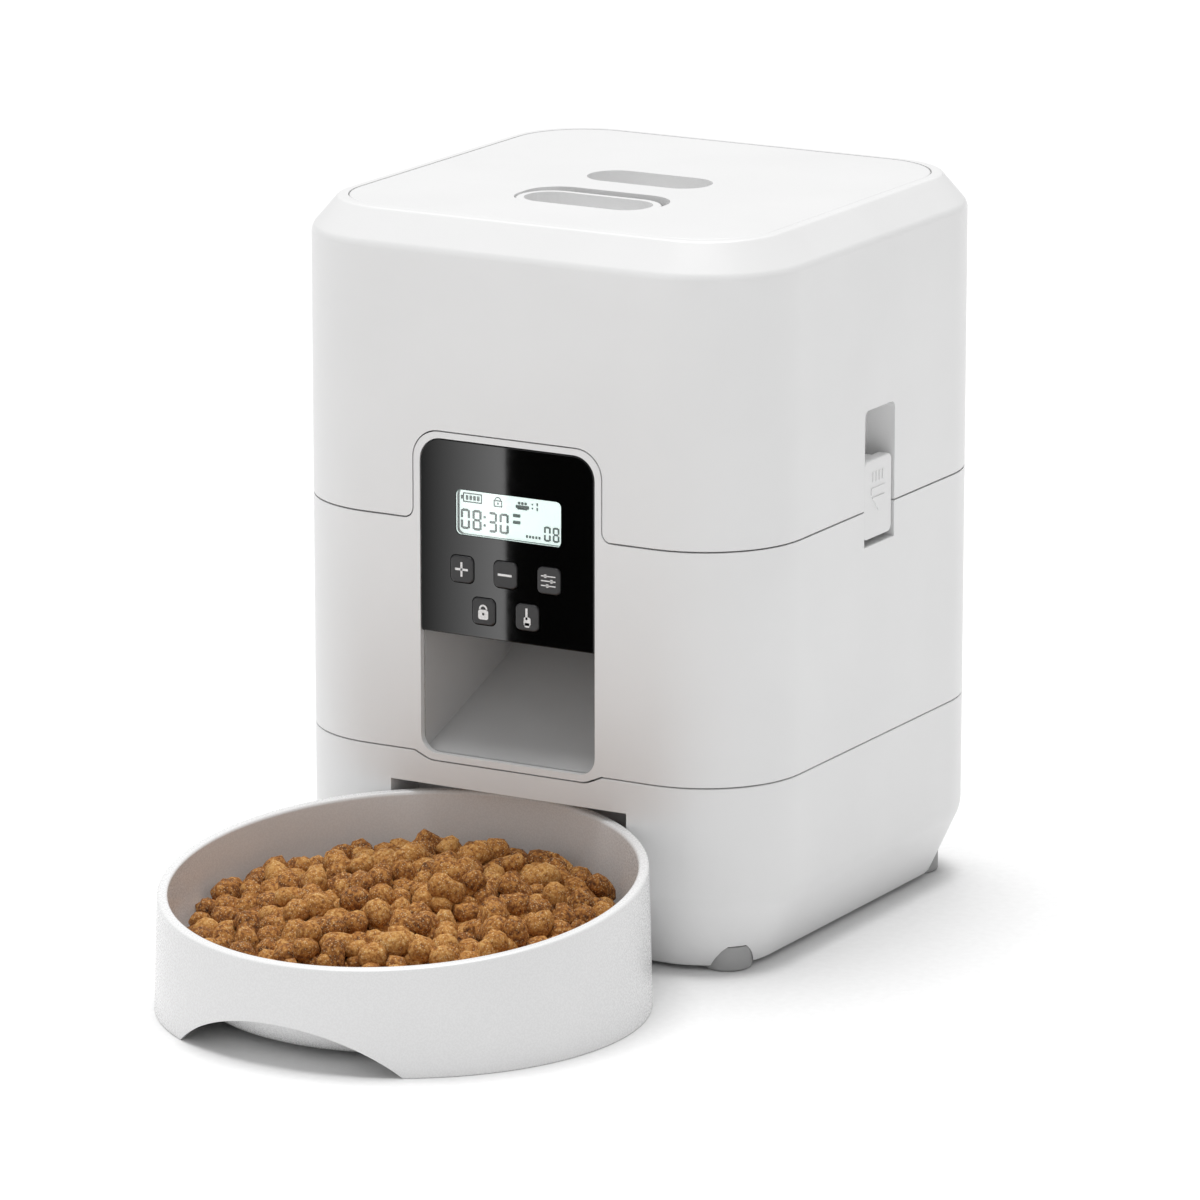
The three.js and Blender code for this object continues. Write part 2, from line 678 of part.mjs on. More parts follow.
function buildRotor() {
  const hubLow = drumFloor + 0.6;
  const hubTop = deckTop - 2;
  const vaneTop = hubTop - 4;
  const reach = drumRadius - 1;
  let rotor = turned([[0, hubLow], [9, hubLow], [9, hubTop - 3], [6, hubTop], [0, hubTop]], 0, drumCentreY);
  for (let vane = 0; vane < rotorVanes; vane += 1) {
    const blade = block([6, -vaneThickness / 2, hubLow], [reach, vaneThickness / 2, vaneTop]);
    const turn = (vane + 0.5) * 360 / rotorVanes;
    rotor = rotor.add(blade.rotate([0, 0, turn]).translate([0, drumCentreY, 0]));
  }
  const boreTop = hubTop - 8;
  rotor = rotor.subtract(post(shaftRadius + fitGap, 0, drumCentreY, 0, boreTop, 16));
  rotor = rotor.subtract(post(2.2 + fitGap, 0, drumCentreY, hubTop - 6, bodyTop, 12));
  add('rotor', rotor, vaneRubber);

  const armLow = hubTop + 6;
  let stirrer = join(
    post(2.2, 0, drumCentreY, hubTop - 5.5, armLow + 12, 12),
    turned([
      [0, hubTop + fitGap], [5, hubTop + fitGap], [5, armLow], [3, armLow + 14], [0, armLow + 15],
    ], 0, drumCentreY, 16),
  );
  for (let arm = 0; arm < 3; arm += 1) {
    const blade = block([2, -1, armLow + 1], [34, 1, armLow + 5]).rotate([0, 0, arm * 120]);
    stirrer = stirrer.add(blade.translate([0, drumCentreY, 0]));
  }
  add('agitator', stirrer, silicone);

  add('rotor_shaft', post(shaftRadius, 0, drumCentreY, gearBottom, boreTop - fitGap, 16), steel);
}

function buildDrive() {
  const bore = (radius, y) => post(radius + fitGap, 0, y, 0, bodyTop, 16);
  const gearBlank = raised(gearOutline(gearTeeth, Math.PI / 2), gearBottom, gearTop);
  const gear = gearBlank.translate([0, drumCentreY, 0]);
  add('drive_gear', gear.subtract(bore(shaftRadius, drumCentreY)), gearPlastic);
  const halfTooth = Math.PI / pinionTeeth;
  const teeth = raised(gearOutline(pinionTeeth, -Math.PI / 2 + halfTooth), gearBottom, gearTop);
  const spindle = post(1.5, 0, 0, gearboxTop - 4, gearTop + 1, 12);
  add('motor_pinion', teeth.add(spindle).translate([0, motorY, 0]), gearPlastic);

  // The gear case closes the gears in from below and carries the motor.
  const gearRoom = pitchRadius + gearModule + 0.7;
  const pinionRoom = pinionPitchRadius + gearModule + 3;
  const lobes = (margin, low) => join(
    post(gearRoom + margin, 0, drumCentreY, low, drumBottom - fitGap, 24),
    post(pinionRoom + margin, 0, motorY, low, drumBottom - fitGap),
  );
  const gearCase = cut(
    lobes(1.5, gearCaseFloor - 1.8),
    lobes(0, gearCaseFloor),
    post(2.4, 0, motorY, 0, gearCaseFloor + 1, 16),
  );
  add('gear_case', gearCase, innerPlastic);
  const gearboxBottom = gearboxTop - gearboxLength;
  add('gearbox', cut(
    post(motorRadius + 1, 0, motorY, gearboxBottom, gearboxTop, 24),
    post(1.5 + fitGap, 0, motorY, gearboxTop - 5, gearboxTop + 1, 12),
  ), charcoal);
  const motorTop = gearboxBottom - fitGap;
  add('motor', join(
    post(motorRadius, 0, motorY, motorTop - motorLength, motorTop, 24),
    post(4.5, 0, motorY, motorTop - motorLength - 2, motorTop, 16),
  ), steel);
}

// ---------------------------------------------------------------- control panel
const windowHalf = { x: windowWidth / 2, z: windowHeight / 2 };

function buttonPlaces() {
  const lower = buttonRowZ - secondRowDrop;
  return {
    plus: [buttonRowX - buttonPitch, buttonRowZ],
    minus: [buttonRowX, buttonRowZ],
    set: [buttonRowX + buttonPitch, buttonRowZ],
    lock: [buttonRowX - buttonPitch / 2, lower],
    feed: [buttonRowX + buttonPitch / 2, lower],
  };
}

function buildPanel() {
  const windowShape = (margin) => roundedRectangle(
    windowHalf.x + margin, windowHalf.z + margin, 2 + margin, windowCentre.x, windowCentre.z,
  );
  const capShape = ([x, z], margin) => roundedRectangle(
    buttonSize.x / 2 + margin, buttonSize.z / 2 + margin, buttonRadius + margin, x, z,
  );
  const half = openingHalf - fitGap;
  const top = panelTop - fitGap;
  const face = openingOutline(outletTop + fitGap, top, half, 0.6, panelCornerRadius - fitGap);
  const flange = openingOutline(
    chuteTop + fitGap, top + 1.8, half + 2, 2, panelCornerRadius + 1.5,
  );
  let panel = pushedBack(face, panelFace, panelBack).add(
    pushedBack(flange, panelBack - panelFlange, panelBack),
  );
  panel = panel.subtract(pushedBack(windowShape(fitGap), frontY - 1, panelBack + 1));
  for (const [name, place] of Object.entries(buttonPlaces())) {
    panel = panel.subtract(pushedBack(capShape(place, fitGap), frontY - 1, panelBack + 1, 1));
    const cap = pushedBack(capShape(place, 0), frontY - buttonStand, panelBack + 0.6, 1);
    const skirt = pushedBack(capShape(place, 1), panelBack + fitGap, panelBack + 1.3, 1);
    add(`button_${name}`, cap.add(skirt), charcoal);
  }
  add('control_panel', panel, blackGloss);

  add('lcd_window', pushedBack(windowShape(0), frontY + 0.15, frontY + 1.6), clearPlastic);
  const displayFront = panelBack + fitGap;
  add('lcd_module', join(
    pushedBack(roundedRectangle(windowHalf.x + 3, windowHalf.z + 3, 1, windowCentre.x, windowCentre.z),
      displayFront, displayFront + 3.4),
    pushedBack(windowShape(-0.4), frontY + 2.6, displayFront + 1),
  ), displayPlastic);
  const padFront = panelBack + 1.3 + buttonTravel + fitGap;
  const padHigh = windowCentre.z - windowHalf.z - 3.6;
  add('button_pad', block(
    [-openingHalf + 5, padFront, chuteTop + 1],
    [openingHalf - 5, padFront + 1.5, padHigh],
  ), silicone);
  const boardFront = padFront + 1.5 + fitGap;
  add('control_board', block(
    [-openingHalf + 2, boardFront, chuteTop + 1],
    [openingHalf - 2, boardFront + 1.6, tabTop - 1.5],
  ), boardGreen);
}

// ---------------------------------------------------------------- hopper
function buildHopper() {
  const low = upperSeam + seamGap / 2;
  const outer = casing([low, bevelStart, bodyTop]);
  const inner = casing([low - 1, bevelStart, ledgeBottom], wall);
  let shell = cut(outer, inner);
  for (const side of Object.values(sides)) {
    const pocket = latchBox(side, wall - 0.8, low, latchRecessTop + 1.6);
    shell = shell.add(pocket.intersect(outer));
    shell = shell.subtract(latchBox(side, 0, latchRecessBottom, latchRecessTop));
    const { slots, sill } = latchHopperParts(side, low);
    shell = cut(shell, ...slots).add(sill);
  }
  shell = cut(
    shell,
    squareBlock(lidHalf + fitGap, lidCornerRadius + fitGap, ledgeTop, bodyTop + 1),
    squareBlock(hatchHalf, hatchRadius, ledgeBottom - 2, bodyTop + 1),
    pushedBack(tabOutline(seamGap), frontY - 1, innerFrontY + 1),
  );
  add('hopper_shell', shell, whiteAbs);

  const linerWall = 2.2;
  const upper = insetAt(ledgeBottom - fitGap) + wall + fitGap * 2 + linerWall;
  const narrow = latchRecessDepth + linerWall + 1.8;
  const funnelTop = latchRecessTop + 2.2;
  const linerTop = ledgeBottom - fitGap;
  const linerBottom = drumTop + fitGap;
  const liner = (margin, extra) => loft([
    { z: linerBottom - extra, halfX: drumRadius, halfY: drumRadius, radius: drumRadius, y: drumCentreY },
    { z: funnelTop, halfX: halfWidth - narrow, halfY: halfDepth - narrow - 3, radius: 30, y: 3 },
    { z: funnelTop + 8, halfX: halfWidth - upper, halfY: halfDepth - upper, radius: cornerRadius - 6 },
    { z: linerTop + extra, halfX: halfWidth - upper, halfY: halfDepth - upper, radius: cornerRadius - 6 },
  ].map((ring) => ({
    ...ring, halfX: ring.halfX + margin, halfY: ring.halfY + margin, radius: ring.radius + margin,
  })));
  const flangeLow = bevelStart - 1.6;
  const flange = casing([flangeLow, flangeLow + 2], wall + 1.2);
  const body = join(liner(linerWall, 0), flange).subtract(liner(0, 1));
  add('hopper_liner', body, innerPlastic);
}

// Where the tab's rear parts pass through the pocket wall, and the ledge its spring stands on.
const stemLow = upperSeam + 4.4;
const stemHigh = upperSeam + 7.4;
const wedgeLow = latchTabTop - 4.5;
const armHigh = wedgeLow + 1.4;
const armLow = wedgeLow - 1.6;
const springSeat = upperSeam + seamGap / 2 + 1.2;
const springShelf = upperSeam + 9;
const springY = latchY + 6.2;

function acrossSide(side, near, far, lowY, highY, lowZ, highZ) {
  const a = side * (halfWidth - near);
  const b = side * (halfWidth - far);
  return block([Math.min(a, b), lowY, lowZ], [Math.max(a, b), highY, highZ]);
}

function latchHopperParts(side, low) {
  const back = latchRecessDepth;
  const slots = [
    acrossSide(
      side, back - 1, back + 3, latchY - 2.8, latchY + 2.8, stemLow - latchTravel - 0.6, stemHigh + 0.4,
    ),
    acrossSide(side, back - 1, back + 3, latchY - 3.3, latchY + 3.3, armLow - fitGap, armHigh + fitGap),
  ];
  const half = latchRecessWidth / 2;
  const sill = acrossSide(side, 5.8, back + 1, latchY - half, latchY + half, low, springSeat);
  return { slots, sill };
}

function buildLatches() {
  for (const [name, side] of Object.entries(sides)) {
    const half = latchTabWidth / 2;
    const outline = (points) => polygon(points.map(([depth, z]) => [side * (halfWidth - depth), z]));
    const plate = acrossSide(side, 0.6, 4.6, latchY - half, latchY + half, latchTabBottom, latchTabTop);
    const stem = acrossSide(side, 4.5, 13, latchY - 2.4, latchY + 2.4, stemLow, stemHigh);
    const head = acrossSide(side, 12.95, 14.8, latchY - 2.4, latchY + 2.4, stemLow, stemHigh + 0.3);
    const shelf = acrossSide(
      side, 4.5, 10.6, latchY + 2.8, latchY + half - 0.6, springShelf, springShelf + 1.5,
    );
    const wedgeDepth = 5 + latchWedgeRise * (latchTabTop - wedgeLow);
    const wedge = pushedBack(outline([[4.5, wedgeLow - 0.4], [5, wedgeLow], [wedgeDepth, latchTabTop],
      [4.5, latchTabTop]]), latchY - 3, latchY + 3);
    const ribs = [0, 1, 2].map((row) => {
      const ribLow = latchTabBottom + 3 + row * 2.4;
      return acrossSide(side, 0, 0.9, latchY - half + 3, latchY + half - 3, ribLow, ribLow + 1);
    });
    add(`latch_${name}`, cut(join(plate, stem, head, shelf, wedge), ...ribs), whiteAbs);

    // The bolt's outer end slopes with the wedge, and its nose points back at the catch post.
    const gap = 0.4;
    const topDepth = 5 + gap + latchWedgeRise * (armHigh - wedgeLow);
    const tipDepth = 5.2;
    const tipHigh = wedgeLow + (tipDepth - 5 - gap) / latchWedgeRise;
    const noseDepth = 17.7;
    const bolt = pushedBack(outline([
      [tipDepth, armLow], [tipDepth, tipHigh], [topDepth, armHigh], [22.3, armHigh],
      [22.3, latchPlan.windowLow - 0.5], [19.8, latchPlan.windowLow - 0.5],
      [19.8, latchPlan.windowLow + 0.6], [noseDepth, latchPlan.windowLow + 0.6],
      [noseDepth, latchPlan.windowHigh - 1], [19.8, latchPlan.windowHigh - 1], [19.8, armLow],
    ]), latchY - 3, latchY + 3);
    add(`latch_bolt_${name}`, bolt, gearPlastic);

    const spring = coil({
      radius: 1.9, length: springShelf - springSeat - fitGap * 2, turns: 5, wire: 0.6,
    });
    spring.translate(side * (halfWidth - 8.1), springY, springSeat + fitGap);
    add(`latch_spring_${name}`, solid(spring), steel);
  }
}

// ---------------------------------------------------------------- lid
const wellWall = 1.6;
const cupBottom = bodyTop - fitGap - handleCupDepth;
const flangeTop = lidBottom - 0.5;
const flangeBottom = flangeTop - 2.3;
const handleCentreY = handleY - handleWidth / 2 + fitGap + handleCupWidth / 2 + handleCupRim;
const handleFlangeBack = handleCentreY + handleCupWidth / 2 + handleCupRim + 1.8;
const desiccantY = 38;

function buildLid() {
  const lidShape = roundedRectangle(lidHalf, lidHalf, lidCornerRadius);
  const plate = raised(lidShape, lidBottom, bodyTop);
  const wellOuter = raised(stadium(wellLength + 2 * wellWall, wellWidth + 2 * wellWall, wellY),
    bodyTop - wellDepth - wellWall, lidBottom + 0.5);
  const wellInner = raised(stadium(wellLength, wellWidth, wellY), bodyTop - wellDepth, bodyTop + 1);
  const handleHole = raised(roundedRectangle(
    handleLength / 2, handleWidth / 2, handleCupWidth / 2 + handleCupRim + fitGap, 0, handleY,
  ), lidBottom - 1, bodyTop + 1);
  // The hinge axis is level with the lid's top face, and a chamfer frees the rear edge.
  const chamfer = pushedAcross(polygon([
    [lidHalf - 1, bodyTop + 0.01], [lidHalf + 0.5, bodyTop + 0.01], [lidHalf + 0.5, bodyTop - 1.5],
    [lidHalf, bodyTop - 1],
  ]), -halfWidth, halfWidth);
  add('lid', cut(plate.add(wellOuter), wellInner, handleHole, chamfer), whiteAbs);

  // The tray under the lid encloses the latch.
  const trayTop = lidBottom - fitGap;
  const trayRadius = hatchRadius - 2;
  let tray = cut(
    squareBlock(trayHalf, trayRadius, trayBottom, trayTop),
    squareBlock(trayHalf - trayWall, trayRadius - trayWall, trayBottom + trayWall, trayTop + 1),
  );
  const tongueSlot = block(
    [-9.6, -trayHalf - 1, cupBottom + 1.6], [9.6, -trayHalf + trayWall + 1, ledgeBottom + 0.2],
  );
  const wellRoom = raised(stadium(wellLength + 2 * wellWall + 1, wellWidth + 2 * wellWall + 1, wellY),
    bodyTop - wellDepth - wellWall - fitGap, trayTop);
  tray = cut(tray, tongueSlot, wellRoom);
  add('lid_tray', tray, innerPlastic);

  add('lid_seal', cut(
    squareBlock(trayHalf + 1.6, trayRadius + 1.6, ledgeBottom + 0.3, lidBottom - 0.5),
    squareBlock(trayHalf + fitGap, trayRadius + fitGap, ledgeBottom - 1, bodyTop),
  ), silicone);

  // The latch: a finger cup that slides back, with a tongue under the front rim.
  const rimLength = handleCupLength + 2 * handleCupRim;
  const rimWidth = handleCupWidth + 2 * handleCupRim;
  const cup = join(
    raised(stadium(rimLength, rimWidth, handleCentreY), cupBottom, bodyTop - fitGap),
    block([-rimLength / 2 - 3, handleCentreY - rimWidth / 2 - 3, flangeBottom],
      [rimLength / 2 + 3, handleFlangeBack, flangeTop]),
    block([-5, handleFlangeBack - 3, cupBottom], [5, handleFlangeBack, flangeTop]),
    block(
      [-9, 1 - trayHalf - 2.4, ledgeBottom - 2.8],
      [9, handleCentreY - rimWidth / 2 + 1, ledgeBottom - 0.3],
    ),
  );
  const hollow = raised(
    stadium(handleCupLength, handleCupWidth, handleCentreY), cupBottom + 1.4, bodyTop + 1,
  );
  add('lid_latch', cup.subtract(hollow), whiteAbs);

  const springFront = handleFlangeBack + fitGap;
  const springBack = wellY - wellWidth / 2 - wellWall - fitGap;
  const spring = coil({ radius: 2.3, length: springBack - springFront, turns: 6, wire: 0.7 });
  spring.rotateX(-Math.PI / 2).translate(0, springFront, cupBottom + 3.8);
  add('lid_latch_spring', solid(spring), steel);

  // The desiccant box hangs under the tray, closed below by a slotted cap.
  const boxHalf = { x: 26, y: 20 };
  const boxTop = trayBottom - fitGap;
  const boxDepth = 11;
  const boxShape = (margin) => roundedRectangle(
    boxHalf.x - margin, boxHalf.y - margin, 5 - margin, 0, desiccantY,
  );
  add('desiccant_box', cut(
    raised(boxShape(0), boxTop - boxDepth, boxTop),
    raised(boxShape(1.5), boxTop - boxDepth - 1, boxTop - 1.5),
  ), innerPlastic);
  const capTop = boxTop - boxDepth - fitGap;
  let cap = raised(boxShape(0), capTop - 1.6, capTop);
  for (let slot = -3; slot <= 3; slot += 1) {
    cap = cap.subtract(block([slot * 6 - 1, desiccantY - 13, 0], [slot * 6 + 1, desiccantY + 13, bodyTop]));
  }
  add('desiccant_cap', cap, innerPlastic);
}

// ---------------------------------------------------------------- bowl
function buildBowl() {
  const high = bowlHeight + 20;
  const rounds = 36;
  const lathe = (points) => turned(points, 0, bowlY, rounds);
  // The basin's wall curves up from a flat bottom to the rim.
  const basin = (margin, top) => {
    const radius = bowlRimInner + margin;
    const curve = new THREE.QuadraticBezierCurve(
      new THREE.Vector2(bowlBaseRadius + margin, bowlWall * 2 - margin),
      new THREE.Vector2(bowlRimInner - 4 + margin, bowlWall * 2 - margin + 1.5),
      new THREE.Vector2(radius, bowlHeight - 12),
    );
    const side = curve.getPoints(4).map((point) => [point.x, point.y]);
    return lathe([[0, bowlWall * 2 - margin], ...side, [radius, top], [0, top]]);
  };
  // Everything below a plane that rises to the rear, as the rim does.
  const below = (drop) => {
    const reach = bowlRadius + 5;
    const height = (offset) => bowlHeight - drop + bowlRimSlope * offset;
    return pushedAcross(polygon([
      [bowlY - reach, -5], [bowlY + reach, -5],
      [bowlY + reach, height(reach)], [bowlY - reach, height(-reach)],
    ]), -reach, reach);
  };
  const blank = lathe([[0, 0], [bowlRadius, 0], [bowlRadius - bowlShrink * high, high], [0, high]]);
  const outside = blank.intersect(below(0));
  const skirtInside = lathe([
    [0, -1], [bowlRadius - bowlWall, -1], [bowlRadius - bowlWall - bowlShrink * high, high], [0, high],
  ]);
  const basinOutside = basin(bowlWall, high + 1);
  const hollow = skirtInside.intersect(below(bowlWall)).subtract(basinOutside);
  const archRadius = (archHalfWidth ** 2 + archHeight ** 2) / (2 * archHeight);
  const arch = barrel(archRadius, 0, archHeight - archRadius, bowlY - bowlRadius - 5, bowlY - 55, 36);
  const bowl = cut(outside, basin(0, high + 1), hollow, arch.subtract(basinOutside));
  add('bowl', bowl, bowlPlastic);
}

buildBase();
buildCells();
buildHousing();
buildChute();
buildDrum();
buildRotor();
buildDrive();
buildPanel();
buildHopper();
buildLatches();
buildLid();
buildBowl();

export default feeder;
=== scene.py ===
# Automatic pet feeder: the looks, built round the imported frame.
# Lengths in the settings are millimetres from the body's centre line and the floor.
import json
import math
import random

import bpy
from mathutils import Euler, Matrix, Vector, noise


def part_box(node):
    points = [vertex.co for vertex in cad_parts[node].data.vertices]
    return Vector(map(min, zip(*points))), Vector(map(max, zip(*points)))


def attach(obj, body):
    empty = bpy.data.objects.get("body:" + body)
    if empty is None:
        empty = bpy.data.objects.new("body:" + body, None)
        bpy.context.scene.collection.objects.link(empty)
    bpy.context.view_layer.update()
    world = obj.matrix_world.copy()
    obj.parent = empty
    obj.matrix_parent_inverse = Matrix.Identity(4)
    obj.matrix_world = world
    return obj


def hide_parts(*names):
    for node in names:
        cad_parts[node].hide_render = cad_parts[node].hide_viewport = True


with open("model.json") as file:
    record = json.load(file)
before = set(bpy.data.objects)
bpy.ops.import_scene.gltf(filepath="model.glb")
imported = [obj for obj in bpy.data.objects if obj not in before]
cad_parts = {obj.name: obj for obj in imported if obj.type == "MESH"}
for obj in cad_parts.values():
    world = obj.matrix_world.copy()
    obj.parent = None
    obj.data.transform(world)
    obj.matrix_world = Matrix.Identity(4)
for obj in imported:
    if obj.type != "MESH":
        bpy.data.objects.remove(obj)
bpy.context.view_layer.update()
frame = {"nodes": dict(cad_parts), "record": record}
nodes = frame["nodes"]
mm = 0.001
hair = 0.02  # mm, how near two places count as one

baseLow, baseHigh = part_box("base_shell")
hopperLow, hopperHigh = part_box("hopper_shell")
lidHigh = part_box("lid")[1]
centre = Vector(((baseLow.x + baseHigh.x) / 2, (baseLow.y + baseHigh.y) / 2, 0))

# The casing's own sizes. Its corners, taper and bevel are shared by three shells.
body = {
    "half": (baseHigh.x - baseLow.x) / 2 / mm,
    "corner": 37.5,
    "cornerSteps": 16,
    "wall": 2.4,
    "foot": 1.6,
    "taperTop": 26.3,
    "taperInset": 11.25,
    "bevelStart": hopperHigh.z / mm - 10.9,
    "bevelInset": 9.3,
    "bevelRise": 10.9,
    "seamRound": 0.35,
}
seam = {
    "base": baseHigh.z / mm,
    "housingLow": baseHigh.z / mm + 0.5,
    "housingHigh": hopperLow.z / mm - 0.5,
    "hopper": hopperLow.z / mm,
    "gap": 0.5,
}
outlet = {
    "half": 35, "sill": 68.4, "top": 112, "panelTop": 181.7,
    "lowRadius": 6.5, "highRadius": 8.5,
    "tabHalf": 37.5, "tabTop": 183.9, "tabRadius": 10, "tabFillet": 4,
    "sillBottom": 66, "sillHalf": 31,
}
latch = {
    "y": 0.9, "width": 22.4, "bottom": 139.1, "top": 188, "depth": 11, "cornerRadius": 2.6,
    "pocketWall": 1.6, "tabWidth": 20.6, "tabRadius": 2.4,
}
random.seed(7)


def at(x, y, z):
    return Vector((x, y, z)) * mm + centre


def toMm(point):
    return (point - centre) / mm


def near(a, b, room=hair):
    return abs(a - b) < room


def selectOnly(*pieces):
    if bpy.context.mode != "OBJECT":
        bpy.ops.object.mode_set(mode="OBJECT")
    bpy.ops.object.select_all(action="DESELECT")
    for piece in pieces:
        piece.select_set(True)
    bpy.context.view_layer.objects.active = pieces[0]


def takeActive(name):
    piece = bpy.context.object
    piece.name = name
    bpy.ops.object.transform_apply(location=True, rotation=True, scale=True)
    return piece


def block(name, low, high):
    bpy.ops.object.select_all(action="DESELECT")
    a, b = at(*low), at(*high)
    bpy.ops.mesh.primitive_cube_add(size=1, location=(a + b) / 2, scale=b - a)
    return takeActive(name)


def post(name, radius, x, y, low, high, sides=48):
    bpy.ops.object.select_all(action="DESELECT")
    bpy.ops.mesh.primitive_cylinder_add(
        vertices=sides, radius=radius * mm, depth=(high - low) * mm, location=at(x, y, (low + high) / 2)
    )
    return takeActive(name)


def barrel(name, radius, x, z, front, back, sides=96):
    bpy.ops.object.select_all(action="DESELECT")
    bpy.ops.mesh.primitive_cylinder_add(
        vertices=sides, radius=radius * mm, depth=(back - front) * mm,
        location=at(x, (front + back) / 2, z), rotation=(math.pi / 2, 0, 0),
    )
    return takeActive(name)


def pick(piece, kind, test):
    # leaves the piece in edit mode with what passes the test selected
    selectOnly(piece)
    bpy.ops.object.mode_set(mode="EDIT")
    bpy.ops.mesh.select_mode(type=kind)
    bpy.ops.mesh.select_all(action="DESELECT")
    bpy.ops.object.mode_set(mode="OBJECT")
    mesh = piece.data
    if kind == "FACE":
        for face in mesh.polygons:
            face.select = test(toMm(face.center), face.normal)
    else:
        for edge in mesh.edges:
            a, b = (toMm(mesh.vertices[i].co) for i in edge.vertices)
            edge.select = test(a, b)
    bpy.ops.object.mode_set(mode="EDIT")


def roundEdges(piece, radius, steps, test):
    pick(piece, "EDGE", test)
    bpy.ops.mesh.bevel(
        offset=radius * mm, offset_type="OFFSET", segments=steps, profile=0.5, affect="EDGES"
    )
    bpy.ops.object.mode_set(mode="OBJECT")


def alongAxis(axis, extra=None):
    others = [i for i in range(3) if i != axis]

    def test(a, b):
        straight = all(near(a[i], b[i]) for i in others)
        return straight and not near(a[axis], b[axis]) and (extra is None or extra(a))
    return test


def ringAt(z):
    return lambda a, b: near(a.z, z) and near(b.z, z)


def roundedBlock(name, halfX, halfY, radius, low, high, x=0, y=0, steps=8):
    piece = block(name, (x - halfX, y - halfY, low), (x + halfX, y + halfY, high))
    roundEdges(piece, min(radius, min(halfX, halfY) * 0.998), steps, alongAxis(2))
    return piece


def narrowEnd(piece, z, inset, rise):
    # an end face drawn in evenly while it moves outwards
    pick(piece, "FACE", lambda c, n: near(c.z, z) and abs(n.z) > 0.9)
    bpy.ops.mesh.inset(thickness=inset * mm, depth=rise * mm, use_even_offset=True)
    bpy.ops.object.mode_set(mode="OBJECT")


def combine(piece, tool, how="DIFFERENCE"):
    selectOnly(piece)
    step = piece.modifiers.new(how.lower(), "BOOLEAN")
    step.object = tool
    step.operation = how
    step.solver = "EXACT"
    bpy.ops.object.modifier_apply(modifier=step.name)
    bpy.data.meshes.remove(tool.data)
    return piece


def joined(name, pieces):
    selectOnly(*pieces)
    if len(pieces) > 1:
        bpy.ops.object.join()
    piece = bpy.context.view_layer.objects.active
    piece.name = name
    return piece


def copyOf(piece, name):
    double = piece.copy()
    double.data = piece.data.copy()
    double.name = name
    bpy.context.collection.objects.link(double)
    return double


def smooth(piece, angle=32, weighted=True):
    selectOnly(piece)
    bpy.ops.object.shade_smooth_by_angle(angle=math.radians(angle))
    if weighted:  # flat faces keep their own normal beside a rounded edge
        step = piece.modifiers.new("flats", "WEIGHTED_NORMAL")
        step.keep_sharp = True
        step.weight = 100
        bpy.ops.object.modifier_apply(modifier=step.name)


def finishPiece(piece, rideOn, material, replaced=()):
    piece.data.materials.clear()
    piece.data.materials.append(material)
    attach(piece, rideOn)
    if replaced:
        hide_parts(*replaced)
    return piece


def linear(hexColour):
    parts = [int(hexColour[i:i + 2], 16) / 255 for i in (1, 3, 5)]
    return tuple(p / 12.92 if p <= 0.04045 else ((p + 0.055) / 1.055) ** 2.4 for p in parts) + (1,)


def addNode(tree, kind, settings=None, links=None):
    node = tree.nodes.new(kind)
    for key, value in (settings or {}).items():
        if isinstance(key, int) or key in node.inputs:
            node.inputs[key].default_value = value
        else:
            setattr(node, key, value)
    for key, source in (links or {}).items():
        tree.links.new(source, node.inputs[key])
    return node


def newMaterial(name):
    material = bpy.data.materials.new(name)
    material.use_nodes = True
    material.node_tree.nodes.clear()
    return material, material.node_tree


def closeMaterial(tree, shader):
    addNode(tree, "ShaderNodeOutputMaterial", links={"Surface": shader.outputs[0]})


def colourBand(tree, source, stops):
    ramp = addNode(tree, "ShaderNodeValToRGB", links={"Fac": source})
    band = ramp.color_ramp
    while len(band.elements) < len(stops):
        band.elements.new(0.5)
    for element, (place, hexColour) in zip(band.elements, stops):
        element.position = place
        element.color = linear(hexColour)
    return ramp.outputs["Color"]


def mouldedPlastic(name, light, dark, rough, grain, depth, settings=None):
    # a moulded polymer: an even tone with a faint cloud in it, and the mould's fine spark grain
    material, tree = newMaterial(name)
    place = addNode(tree, "ShaderNodeTexCoord").outputs["Object"]
    cloud = addNode(tree, "ShaderNodeTexNoise", {"Scale": 1 / (45 * mm), "Detail": 3.0}, {"Vector": place})
    spark = addNode(tree, "ShaderNodeTexNoise", {"Scale": 1 / (grain * mm), "Detail": 2.0}, {"Vector": place})
    tone = colourBand(tree, cloud.outputs["Fac"], [(0.3, dark), (0.7, light)])
    sheen = addNode(tree, "ShaderNodeMapRange", {
        "From Min": 0.35, "From Max": 0.65, "To Min": rough * 0.9, "To Max": rough * 1.12,
    }, {"Value": spark.outputs["Fac"]})
    bump = addNode(tree, "ShaderNodeBump", {"Strength": 0.5, "Distance": depth * mm},
                   {"Height": spark.outputs["Fac"]})
    shader = addNode(tree, "ShaderNodeBsdfPrincipled", {"IOR": 1.53, **(settings or {})}, {
        "Base Color": tone, "Roughness": sheen.outputs["Result"], "Normal": bump.outputs["Normal"],
    })
    closeMaterial(tree, shader)
    return material


